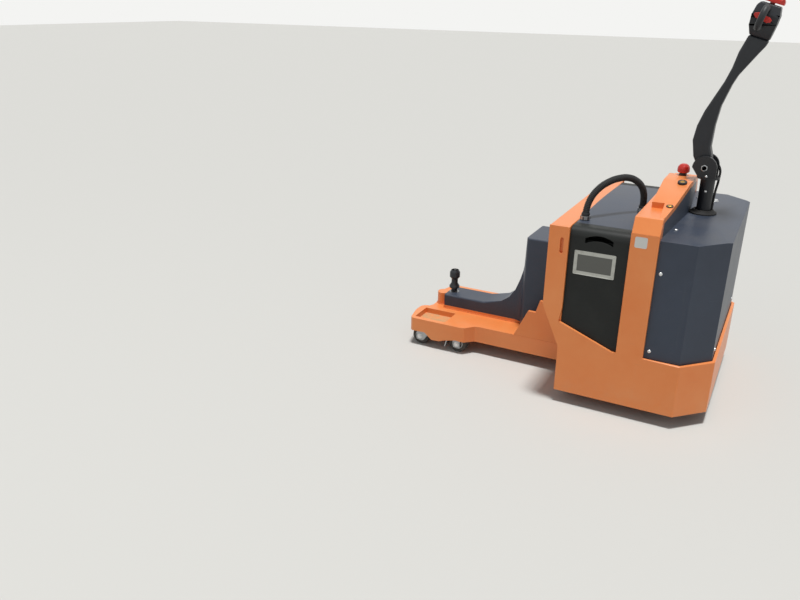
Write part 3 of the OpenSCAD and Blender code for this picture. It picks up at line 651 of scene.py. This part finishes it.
class TRACTOR_OT_stage(bpy.types.Operator):
    """Add the camera, the floor and the light"""

    bl_idname = "tractor.stage"
    bl_label = "Stage"

    def execute(self, context):
        sizes = context.scene.tractor_stage
        forward = Vector((-math.sin(sizes.yaw) * math.cos(sizes.pitch),
                          math.cos(sizes.yaw) * math.cos(sizes.pitch), -math.sin(sizes.pitch)))
        right = Vector((math.cos(sizes.yaw), math.sin(sizes.yaw), 0.0))
        up = right.cross(forward)
        side = math.cos(sizes.roll) * right + math.sin(sizes.roll) * up
        top = -math.sin(sizes.roll) * right + math.cos(sizes.roll) * up
        lens = bpy.data.cameras.new("camera")
        lens.sensor_width = SENSOR_WIDTH
        lens.lens = sizes.focal_pixels / PHOTO_WIDTH * SENSOR_WIDTH
        camera = bpy.data.objects.new("camera", lens)
        camera.matrix_world = Matrix.Translation(sizes.camera_place) @ Matrix(
            (side, top, -forward)).transposed().to_4x4()
        context.scene.collection.objects.link(camera)
        context.scene.camera = camera

        bpy.ops.object.select_all(action="DESELECT")
        bpy.ops.mesh.primitive_plane_add(size=60.0, location=(0.0, 0.0, 0.0))
        floor = context.object
        floor.name = "floor"
        floor.data.materials.append(self.floor_finish())
        self.world(context)
        self.lamp("key", "SUN", (0.3, -0.3, 5.6), 3.0, angle=math.radians(9.0))
        self.lamp("front", "AREA", (-2.2, -4.4, 2.6), 20.0, size=3.4)
        self.lamp("side", "AREA", (4.6, -2.4, 1.8), 16.0, size=2.4)
        context.scene.view_settings.view_transform = "Standard"
        return {"FINISHED"}

    @staticmethod
    def floor_finish():
        """Matt pale floor."""
        return Shader("floor").finish(specular=0.1, colour="#c9c8c3", roughness=0.9)

    @staticmethod
    def world(context):
        """Soft room light, and a white room where the camera or a reflection sees it."""
        world = bpy.data.worlds.new("room")
        context.scene.world = world
        world.use_nodes = True
        tree = world.node_tree
        soft = tree.nodes["Background"]
        soft.inputs["Color"].default_value = linear("#eef1f6")
        soft.inputs["Strength"].default_value = 0.32
        white = tree.nodes.new("ShaderNodeBackground")
        white.inputs["Color"].default_value = linear("#f4f4f2")
        white.inputs["Strength"].default_value = 1.0
        seen = tree.nodes.new("ShaderNodeLightPath")
        either = seen.outputs["Is Camera Ray"]
        for ray in ("Is Glossy Ray", "Is Transmission Ray"):
            larger = tree.nodes.new("ShaderNodeMath")
            larger.operation = "MAXIMUM"
            tree.links.new(either, larger.inputs[0])
            tree.links.new(seen.outputs[ray], larger.inputs[1])
            either = larger.outputs[0]
        mix = tree.nodes.new("ShaderNodeMixShader")
        tree.links.new(either, mix.inputs[0])
        tree.links.new(soft.outputs[0], mix.inputs[1])
        tree.links.new(white.outputs[0], mix.inputs[2])
        tree.links.new(mix.outputs[0], tree.nodes["World Output"].inputs["Surface"])

    @staticmethod
    def lamp(name, kind, place, power, **settings):
        """A lamp that looks at the middle of the machine."""
        light = bpy.data.lights.new(name, kind)
        light.energy = power
        for key, value in settings.items():
            setattr(light, key, value)
        lamp = bpy.data.objects.new(name, light)
        lamp.location = place
        away = Vector((0.0, 0.0, 0.4)) - Vector(place)
        lamp.rotation_euler = away.to_track_quat("-Z", "Y").to_euler()
        bpy.context.scene.collection.objects.link(lamp)


class TRACTOR_OT_finishes(bpy.types.Operator):
    """Make the finishes and give every solid of the frame its own"""

    bl_idname = "tractor.finishes"
    bl_label = "Finishes"

    def execute(self, context):
        look = context.scene.tractor_finish
        painted("body paint", look.body_colour, look.body_faded, "#d3ad88", look.dust,
                "#b58a68", 0.5, 0.32, 0.08, 0.4)
        pocket_paint("tongue paint", look.body_colour, look.body_faded, "#bd9a6f", look.dust)
        painted("cover paint", look.cover_colour, "#3d4553", "#77736d", look.dust,
                "#70757f", 0.3, 0.38, 0.22, 0.30)
        painted("black paint", "#1c1e22", "#26282c", "#6d655c", look.dust,
                "#63615e", 0.5, 0.36, 0.12, 0.4)
        moulded("battery plastic", "#1f2120", "#2b2d2b", 0.48, 0.4, 900.0, 0.22)
        moulded("tiller plastic", "#1d2025", "#2c3036", 0.40, 0.45, 1300.0)
        moulded("grip plastic", "#191b1e", "#2d2f32", 0.50, 0.8, 700.0)
        moulded("red plastic", "#c42b22", "#a5372f", 0.28, 0.12)
        moulded("blank label", "#cfcfca", "#b3b0a8", 0.40, 0.1)
        rolled_rubber("boot rubber", "#161718", "#3b3835", 0.4)
        rolled_rubber("conduit", "#151618", "#34322f", 0.25)
        rolled_rubber("tyre rubber", "#232323", "#6d665c", 0.7)
        bare_metal("zinc", "#a9acae", "#6c675f", 0.30, (1.0, 1.0, 12.0))
        bare_metal("bright steel", "#d9dbdc", "#9a9690", 0.20, (12.0, 1.0, 1.0))
        plate_metal("plate metal", "#b4b5af", "#5b5c58")
        bare_metal("brass", "#d0a654", "#8a6a35", 0.26, (1.0, 1.0, 10.0))
        weld_metal("weld", "#dc7537", "#a55428")
        slots = {
            "orange_paint": "body paint", "slate_cover": "cover paint",
            "black_plastic": "tiller plastic", "black_paint": "black paint",
            "black_rubber": "boot rubber", "tyre": "tyre rubber", "zinc_steel": "zinc",
            "red_plastic": "red plastic",
        }
        own = {
            "tongue": "tongue paint", "battery": "battery plastic",
            "battery_side_covers": "battery plastic", "tiller_grips": "grip plastic",
            "power_cable": "conduit",
        }
        for node, slot in SLOTS.items():
            mesh = NODES[node].data
            mesh.materials.clear()
            mesh.materials.append(finish_of(own.get(node, slots[slot])))
        return {"FINISHED"}


# Pieces

class TRACTOR_OT_plates(bpy.types.Operator):
    """Round the edges of the painted plates"""

    bl_idname = "tractor.plates"
    bl_label = "Plates"

    def execute(self, context):
        sizes = context.scene.tractor_sizes
        edge, bend = sizes.plate_edge, sizes.plate_bend
        rounded("skirt_shell", "body paint", edge, bend)
        rounded("bulkhead", "body paint", edge, bend * 0.8)
        rounded("dash_beam", "body paint", edge, bend * 0.8)
        rounded("console", "body paint", edge * 1.4)
        rounded("tongue", "tongue paint", edge, bend * 0.5)
        rounded("gussets", "body paint", edge)
        rounded("tow_box", "body paint", edge)
        rounded("nose_post", "body paint", edge * 1.5)
        return {"FINISHED"}


class TRACTOR_OT_covers(bpy.types.Operator):
    """Round the edges of the covers"""

    bl_idname = "tractor.covers"
    bl_label = "Covers"

    def execute(self, context):
        sizes = context.scene.tractor_sizes
        rounded("rear_cover", "cover paint", 1.2 * MM, sizes.cover_bend)
        rounded("fairing", "cover paint", 1.0 * MM, sizes.cover_bend, free=True)
        rounded("battery_lid", "cover paint", 1.6 * MM)
        rounded("battery_side_covers", "battery plastic", 1.0 * MM)
        return {"FINISHED"}


class TRACTOR_OT_tiller(bpy.types.Operator):
    """Round the clevis, arm, head, pad and throttle, and add bolts, sleeves and the lead"""

    bl_idname = "tractor.tiller"
    bl_label = "Tiller"

    def execute(self, context):
        rounded("tiller_clevis", "black paint", 1.5 * MM)
        rounded("tiller_arm", "tiller plastic", 1.0 * MM, 7.0 * MM, 4, 1.2, free=True)
        rounded("tiller_head", "tiller plastic", 0.8 * MM, 4.0 * MM, 4, 1.8, free=True)
        rounded("belly_button", "red plastic", 0.6 * MM)
        rounded("throttle", "red plastic", 1.0 * MM)
        self.pivot_bolts()
        self.column_bolts()
        self.grip_collars()
        self.lead()
        return {"FINISHED"}

    @staticmethod
    def pivot_bolts():
        """Hexagon head on each end of the pivot."""
        height = 3.5 * MM
        out = CLEVIS_Y - height
        head = hexagon("pivot_head", 20.0 * MM, height, 0.0)
        bolts = put(head, "pivot_bolts", [
            ((PIVOT.x, -out, PIVOT.z), (0, -1, 0)), ((PIVOT.x, out, PIVOT.z), (0, 1, 0))])
        given(bolts, "zinc", "steer")

    @staticmethod
    def column_bolts():
        """Bright screws low on the cheeks and on the column."""
        cheek = CLEVIS_Y - 4.0 * MM
        tube = COLUMN_R - 0.3 * MM
        places = []
        for side in (-1, 1):
            places += [((COLUMN_X - 4.0 * MM, side * cheek, PIVOT.z - 28 * MM), (0, side, 0)),
                       ((COLUMN_X, side * tube, PIVOT.z - 82 * MM), (0, side, 0))]
        screws = put(dome("column_screw", 9.0 * MM, 3.0 * MM), "column_screws", places)
        given(screws, "bright steel", "steer")

    @staticmethod
    def grip_collars():
        """Soft sleeves on the runs of the two grips, with fine ribs."""
        turn = Matrix.Translation(HEAD_FOOT) @ Matrix.Rotation(HEAD_TILT, 4, "Y")
        grip_x, grip_z, rise = 4 * MM, 58 * MM, 30 * MM
        low, full = 10.6 * MM, 11.3 * MM
        sleeves = []
        for side in (-1, 1):
            for z in (grip_z - rise, grip_z + rise):
                points = [turn @ Vector((grip_x, side * y, z)) for y in (60 * MM, 90 * MM)]
                sleeves.append(ribbed("grip_sleeve", points, [
                    (low, 0.0), (full, 0.2), (full, 0.7), (low, 0.9), (low, 1.0)],
                    3.4 * MM, 24, smooth=False))
        given(joined(sleeves, "grip_sleeves"), "grip plastic", "tiller")

    @staticmethod
    def lead():
        """The control lead, held to the far cheek of the clevis and down into the boot."""
        y = CLEVIS_Y - 1.0 * MM
        x = COLUMN_X + 22 * MM
        z = PIVOT.z
        low, full = 3.6 * MM, 4.4 * MM
        lead = ribbed("control_lead", [
            (PIVOT.x - 8 * MM, y, z + 22 * MM), (PIVOT.x + 12 * MM, y, z + 20 * MM),
            (x + 6 * MM, y - 6 * MM, z - 8 * MM), (x + 10 * MM, y - 16 * MM, z - 42 * MM),
            (x + 6 * MM, 12 * MM, z - 90 * MM), (x + 4 * MM, 8 * MM, z - 152 * MM)], [
                (low, 0.0), (full, 0.25), (full, 0.65), (low, 0.9), (low, 1.0)], 3.2 * MM, 12)
        given(lead, "conduit", "steer")


class TRACTOR_OT_screws(bpy.types.Operator):
    """Put the screws on the covers and the bolts on the castor plates and the slewing ring"""

    bl_idname = "tractor.screws"
    bl_label = "Screws"

    def execute(self, context):
        size = context.scene.tractor_sizes.screw_d
        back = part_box("rear_cover")[1].x
        seats = [((0.393, side * COVER_Y, z), (0, side, 0))
                 for side in (-1, 1) for z in (0.532, 0.261)]
        seats += [((back, y, 0.262), (1, 0, 0)) for y in (-0.265, 0.265)]
        seats += [seat_on("rear_cover", 0.401, y) for y in (-0.251, 0.251)]
        screws = put(dome("cover_screw", size, 3.4 * MM), "cover_screws", seats)
        given(screws, "bright steel", "chassis")
        plug = ringed("filler", [
            (15 * MM, 0.0), (15 * MM, 1.5 * MM), (13 * MM, 2.6 * MM), (13 * MM, 5 * MM),
            (12 * MM, 6.6 * MM), (8 * MM, 7.4 * MM), (7 * MM, 6.8 * MM), (3 * MM, 6.8 * MM)], 36)
        shaded(plug)
        given(put(plug, "cover_plug", [seat_on("rear_cover", 0.463, 0.224)]), "bright steel",
              "chassis")
        self.castor_bolts()
        self.ring_bolts()
        return {"FINISHED"}

    @staticmethod
    def castor_bolts():
        """Four bolts under each castor plate, which ends a boss's height over its lowest point."""
        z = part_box("castor_plates")[0].z + BOSS
        bolts = [((CASTOR_X + dx, side * CASTOR_Y + dy, z), (0, 0, -1)) for side in (-1, 1)
                 for dx in (-0.034, 0.034) for dy in (-0.029, 0.029)]
        given(put(hexagon("castor_bolt", 13 * MM, 5 * MM, 1.5 * MM), "castor_bolts", bolts),
              "zinc", "chassis")

    @staticmethod
    def ring_bolts():
        """Circle of bolts that holds the slewing ring."""
        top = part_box("slew_ring")[1].z
        count, circle_r = 12, 0.1055
        places = []
        for k in range(count):
            a = math.radians(360 / count * (k + 0.5))
            places.append(((COLUMN_X + circle_r * math.cos(a), circle_r * math.sin(a), top),
                           (0, 0, 1)))
        given(put(hexagon("ring_bolt", 8 * MM, 4 * MM, 0.8 * MM), "ring_bolts", places),
              "zinc", "chassis")


class TRACTOR_OT_plaques(bpy.types.Operator):
    """Add the blank data plate and the blank sticker"""

    bl_idname = "tractor.plaques"
    bl_label = "Plaques"

    def execute(self, context):
        self.data_plate()
        self.sticker()
        return {"FINISHED"}

    @staticmethod
    def data_plate():
        """Thin blank plate with a rim and four rivets on the near side cover."""
        width, height = PLAQUE_SIZE
        thick = 1.2 * MM
        plate = slab("data_plate", (width, height, thick), 4 * MM)
        edit(plate, "FACE", lambda f: f.normal.z > 0.9)
        bpy.ops.mesh.inset(thickness=1.6 * MM, depth=0.0)
        bpy.ops.mesh.inset(thickness=0.5 * MM, depth=-0.5 * MM)
        done()
        shaded(plate, 25.0)
        field = slab("field", (width - 22 * MM, height - 24 * MM, 0.5 * MM), 3 * MM)
        edit(field, "EDGE", lambda e: e.verts[0].co.z > 0.4 * MM and e.verts[1].co.z > 0.4 * MM)
        bpy.ops.mesh.bevel(offset=0.3 * MM, segments=2, affect="EDGES")
        done()
        shaded(field, 25.0)
        field.location.z = thick - 0.5 * MM
        settle(field)
        rivets = put(dome("rivet", 4.6 * MM, 1.2 * MM), "rivets", [
            ((x * (width / 2 - 7 * MM), y * (height / 2 - 7 * MM), thick * 0.55), (0, 0, 1))
            for x in (-1, 1) for y in (-1, 1)])
        plate = joined([plate, field, rivets], "data_plate")
        plate.matrix_world = (Matrix.Translation((PLAQUE_X, -SIDE_COVER_Y, PLAQUE_Z))
                              @ Matrix.Rotation(math.radians(90), 4, "X"))
        settle(plate)
        given(plate, "plate metal", "chassis")

    @staticmethod
    def sticker():
        """Blank sticker with round corners high on the near mid post."""
        label = slab("sticker", (0.039, 0.036, 0.6 * MM), 5 * MM)
        edit(label, "FACE", lambda f: f.normal.z > 0.9)
        bpy.ops.mesh.inset(thickness=2.0 * MM, depth=0.0)
        bpy.ops.mesh.inset(thickness=0.4 * MM, depth=-0.15 * MM)
        done()
        label.matrix_world = (Matrix.Translation((0.3225, -POST_Y + 0.4 * MM, 0.628))
                              @ Matrix.Rotation(math.radians(90), 4, "X"))
        settle(label)
        shaded(label, 25.0)
        given(label, "blank label", "chassis")


class TRACTOR_OT_cable(bpy.types.Operator):
    """Lay the corrugated battery cable over the lid, with a gland nut at each end"""

    bl_idname = "tractor.cable"
    bl_label = "Cable"

    # The route of the solid cable, in millimetres from the skirt's hitch end and the deck
    ROUTE = (
        (20, -283, 15.2), (21, -277, 40), (28, -264, 72), (46, -242, 103), (72, -214, 124),
        (98, -184, 133), (124, -155, 132), (146, -131, 119), (162, -113, 98), (170, -102, 72),
        (172, -97, 46), (172, -96, 19.8))

    def execute(self, context):
        r = context.scene.tractor_sizes.cable_d / 2
        origin = Vector((0.09, 0.0, DECK))
        points = [origin + Vector(p) * MM for p in self.ROUTE]
        cable = ribbed("conduit", points, [
            (r * 0.87, 0.0), (r * 0.87, 0.22), (r * 0.96, 0.34), (r, 0.44), (r, 0.72),
            (r * 0.96, 0.82), (r * 0.87, 0.94), (r * 0.87, 1.0)], 5.4 * MM, 24)
        only(cable)
        bpy.ops.object.shade_smooth_by_angle(angle=math.radians(50))
        given(cable, "conduit", "chassis")
        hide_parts("power_cable")
        nuts = []
        for end, nearby in ((points[0], points[1]), (points[-1], points[-2])):
            nut = hexagon("gland_nut", 30 * MM, 12 * MM, 0.0)
            collar = ringed("gland_collar", [
                (13.6 * MM, 11 * MM), (14.2 * MM, 13 * MM), (14.0 * MM, 19 * MM),
                (12.6 * MM, 23 * MM), (11.9 * MM, 23 * MM)], 36)
            shaded(collar)
            seat = Vector((end.x, end.y, end.z - 12 * MM))
            nuts.append(put(joined([nut, collar], "gland_nut"), "gland", [
                (seat, (nearby - end).normalized() * 0.25 + Vector((0, 0, 0.75)))]))
        given(joined(nuts, "gland_nuts"), "grip plastic", "chassis")
        return {"FINISHED"}


class TRACTOR_OT_console_fittings(bpy.types.Operator):
    """Add the locks with their ring and bezel to the console"""

    bl_idname = "tractor.console_fittings"
    bl_label = "Console fittings"

    def execute(self, context):
        seat, normal = seat_on("console", *KEY_AT)
        given(self.lock("key_barrel", seat + normal * 3.9 * MM, normal, 8.4 * MM), "brass",
              "chassis")
        place, second = seat_on("console", *LOCK_AT)
        ring = ringed("lock_ring", [
            (11.6 * MM, 0.0), (11.6 * MM, 2.2 * MM), (10.8 * MM, 3.4 * MM),
            (8.6 * MM, 3.4 * MM), (8.0 * MM, 2.4 * MM), (3.0 * MM, 2.4 * MM)], 40)
        shaded(ring)
        given(put(ring, "lock_ring", [(place - second * 0.3 * MM, second)]), "black paint",
              "chassis")
        given(self.lock("lock_barrel", place + second * 1.6 * MM, second, 7.4 * MM), "brass",
              "chassis")
        self.key_bezel(seat, normal)
        return {"FINISHED"}

    @staticmethod
    def lock(name, place, normal, r):
        """Barrel of a lock with its slot."""
        barrel = ringed(name, [
            (r, 0.0), (r, 1.4 * MM), (r - 1.0 * MM, 2.2 * MM), (r - 2.2 * MM, 2.2 * MM),
            (r - 2.6 * MM, 1.8 * MM)], 32)
        edit(barrel, "FACE", lambda f: f.normal.z > 0.9 and len(f.verts) > 4)
        bpy.ops.mesh.delete(type="FACE")
        done()
        edit(barrel, "EDGE", lambda e: e.is_boundary and e.verts[0].co.z > 1.0 * MM)
        bpy.ops.mesh.extrude_region_move(TRANSFORM_OT_translate={"value": (0.0, 0.0, 0.0)})
        bpy.ops.transform.resize(value=(0.75, 0.2, 1.0), center_override=(0.0, 0.0, 1.8 * MM))
        bpy.ops.mesh.extrude_region_move(
            TRANSFORM_OT_translate={"value": (0.0, 0.0, -1.6 * MM)})
        bpy.ops.mesh.edge_face_add()
        outward()
        shaded(barrel)
        return put(barrel, name, [(place, normal)])

    @staticmethod
    def key_bezel(place, normal):
        """Black bezel over the lock's bright ring."""
        ring = ringed("key_bezel", [
            (15.0 * MM, 0.0), (15.6 * MM, 0.4 * MM), (15.6 * MM, 5.2 * MM), (14.4 * MM, 7.4 * MM),
            (10.2 * MM, 7.6 * MM), (9.2 * MM, 7.0 * MM), (9.0 * MM, 4.2 * MM)], 40, False)
        edit(ring, "EDGE", lambda e: e.is_boundary and e.verts[0].co.z > 3 * MM)
        bpy.ops.mesh.extrude_region_move(
            TRANSFORM_OT_translate={"value": (0.0, 0.0, -3.9 * MM)})
        done()
        edit(ring, "EDGE", lambda e: e.is_boundary)
        bpy.ops.mesh.bridge_edge_loops()
        outward()
        shaded(ring)
        bezel = put(ring, "key_bezel", [(place, normal)])
        given(bezel, "black paint", "chassis")


class TRACTOR_OT_welds(bpy.types.Operator):
    """Run the weld seams along the tongue and the hitch"""

    bl_idname = "tractor.welds"
    bl_label = "Welds"

    def execute(self, context):
        r = context.scene.tractor_sizes.weld
        z = TONGUE_TOP + 0.4 * r
        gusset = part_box("gussets")
        box_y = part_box("tow_box")[1].y
        box_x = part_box("tow_box")[0].x
        runs = []
        for side in (-1, 1):
            flank = side * (gusset[1].y - PLATE - 0.4 * r)
            runs.append([(gusset[0].x + 2 * MM, flank, z), (0.084, flank, z)])
            rail = side * (box_y + 0.4 * r)
            runs.append([(box_x + 8 * MM, rail, z), (gusset[0].x - 2 * MM, rail, z)])
            runs.append([(0.0235 - 0.4 * r, flank, 0.365), (0.086 - 0.4 * r, flank, 0.238)])
        post_x = middle("nose_post").x
        post_r = 25 * MM + 0.3 * r
        around = [(post_x + post_r * math.cos(math.radians(a)),
                   post_r * math.sin(math.radians(a)), z) for a in range(70, 291, 20)]
        seams = [self.seam(run, r, False) for run in runs] + [self.seam(around, r, True)]
        given(joined(seams, "weld_seams"), "weld", "chassis")
        return {"FINISHED"}

    @staticmethod
    def seam(points, r, smooth):
        """One seam of overlapping beads along points."""
        return ribbed("seam", points, [
            (r * 0.80, 0.0), (r * 0.97, 0.25), (r, 0.55), (r * 0.92, 0.85), (r * 0.80, 1.0)],
            3.2 * MM, 12, smooth)


class TRACTOR_OT_wheels(bpy.types.Operator):
    """Add hub discs and axle nuts to the wheels"""

    bl_idname = "tractor.wheels"
    bl_label = "Wheels"

    def execute(self, context):
        for end in ("", "_rear"):
            for side in ("near", "far"):
                node = "load_wheel" + end + "_" + side
                self.hub(node, 8.4 * MM, 23 * MM, 2.6 * MM)
        for side in ("near", "far"):
            self.hub("castor_wheel_" + side, 6.6 * MM, 33 * MM, 2.4 * MM)
        self.hub("drive_wheel", 21 * MM, 82 * MM, 3.0 * MM)
        self.axle_nuts()
        return {"FINISHED"}

    @staticmethod
    def hub(node, bore, rim, thick):
        """Pressed metal disc on each face of a wheel, with a bearing round the axle."""
        low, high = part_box(node)
        axle = middle(node)
        span = rim - bore
        disc = band("hub", [
            (bore, 0.0), (rim, 0.0), (rim, thick * 0.5), (rim - span * 0.08, thick),
            (rim - span * 0.2, thick), (rim - span * 0.3, thick * 0.25),
            (bore + span * 0.42, thick * 0.25), (bore + span * 0.36, thick * 0.9),
            (bore + span * 0.16, thick), (bore + span * 0.1, thick * 0.5),
            (bore, thick * 0.45)], 40)
        inside = 1.0 * MM
        hubs = put(disc, "hubs_" + node, [
            ((axle.x, low.y + inside, axle.z), (0, -1, 0)),
            ((axle.x, high.y - inside, axle.z), (0, 1, 0))])
        given(hubs, "zinc", BODY_OF[node])

    @staticmethod
    def axle_nuts():
        """Nuts on the ends of the axles of the load wheels and the castors."""
        outer = 207.5 * MM
        inner = 142.5 * MM
        places = []
        for x in LOAD_AXLE_X:
            for side in (-1, 1):
                places += [((x, side * outer, LOAD_AXLE_Z), (0, side, 0)),
                           ((x, side * inner, LOAD_AXLE_Z), (0, -side, 0))]
        nuts = put(hexagon("load_nut", 15 * MM, 4.2 * MM, 1.0 * MM), "load_nuts", places)
        given(nuts, "bright steel", "chassis")
        reach = 25 * MM
        x, z = CASTOR_AXLE
        for side, name in ((-1, "near"), (1, "far")):
            places = [((x, side * CASTOR_Y + turn * reach, z), (0, turn, 0))
                      for turn in (-1, 1)]
            nuts = put(hexagon("castor_nut", 13 * MM, 4.0 * MM, 1.0 * MM), "castor_nuts_" + name,
                       places)
            given(nuts, "zinc", "castor_fork_" + name)


class TRACTOR_OT_hitch(bpy.types.Operator):
    """Round the tow pin, and add its cap and the collar on the coupling face"""

    bl_idname = "tractor.hitch"
    bl_label = "Hitch"

    def execute(self, context):
        rounded("tow_pin", "black paint", 1.6 * MM)
        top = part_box("tow_pin")[1].z
        cap = ringed("knob_cap", [
            (15.0 * MM, 0.0), (14.2 * MM, 0.5 * MM), (6.0 * MM, 0.5 * MM),
            (5.0 * MM, 0.1 * MM)], 36)
        shaded(cap)
        given(put(cap, "knob_cap", [((PIN_X, 0.0, top - 0.5 * MM), (0, 0, 1))]),
              "bright steel", "tow_pin")
        collar = band("face_collar", [
            (13.8 * MM, 0.0), (22.0 * MM, 0.0), (22.0 * MM, 0.8 * MM), (21.0 * MM, 1.4 * MM),
            (14.6 * MM, 1.4 * MM), (13.8 * MM, 0.8 * MM)], 48)
        given(put(collar, "face_collar", [((PIN_X, 0.0, COUPLING_Z - 1.2 * MM), (0, 0, 1))]),
              "zinc", "chassis")
        return {"FINISHED"}


class TRACTOR_PT_panel(bpy.types.Panel):
    """Lists the pieces of the machine."""

    bl_idname = "TRACTOR_PT_panel"
    bl_label = "Tow tractor"
    bl_space_type = "VIEW_3D"
    bl_region_type = "UI"
    bl_category = "Tractor"

    def draw(self, context):
        for operator in OPERATORS:
            self.layout.operator(operator.bl_idname)


OPERATORS = (
    TRACTOR_OT_stage, TRACTOR_OT_finishes, TRACTOR_OT_plates, TRACTOR_OT_covers,
    TRACTOR_OT_tiller, TRACTOR_OT_screws, TRACTOR_OT_plaques, TRACTOR_OT_cable,
    TRACTOR_OT_console_fittings, TRACTOR_OT_welds, TRACTOR_OT_wheels, TRACTOR_OT_hitch)
GROUPS = (TRACTOR_PG_finish, TRACTOR_PG_stage, TRACTOR_PG_sizes)


def register():
    for cls in GROUPS + OPERATORS + (TRACTOR_PT_panel,):
        bpy.utils.register_class(cls)
    bpy.types.Scene.tractor_finish = bpy.props.PointerProperty(type=TRACTOR_PG_finish)
    bpy.types.Scene.tractor_stage = bpy.props.PointerProperty(type=TRACTOR_PG_stage)
    bpy.types.Scene.tractor_sizes = bpy.props.PointerProperty(type=TRACTOR_PG_sizes)


def unregister():
    del bpy.types.Scene.tractor_finish
    del bpy.types.Scene.tractor_stage
    del bpy.types.Scene.tractor_sizes
    for cls in reversed(GROUPS + OPERATORS + (TRACTOR_PT_panel,)):
        bpy.utils.unregister_class(cls)


def main():
    register()
    for operator in OPERATORS:
        group, name = operator.bl_idname.split(".")
        getattr(getattr(bpy.ops, group), name)()


if __name__ == "__main__":
    main()
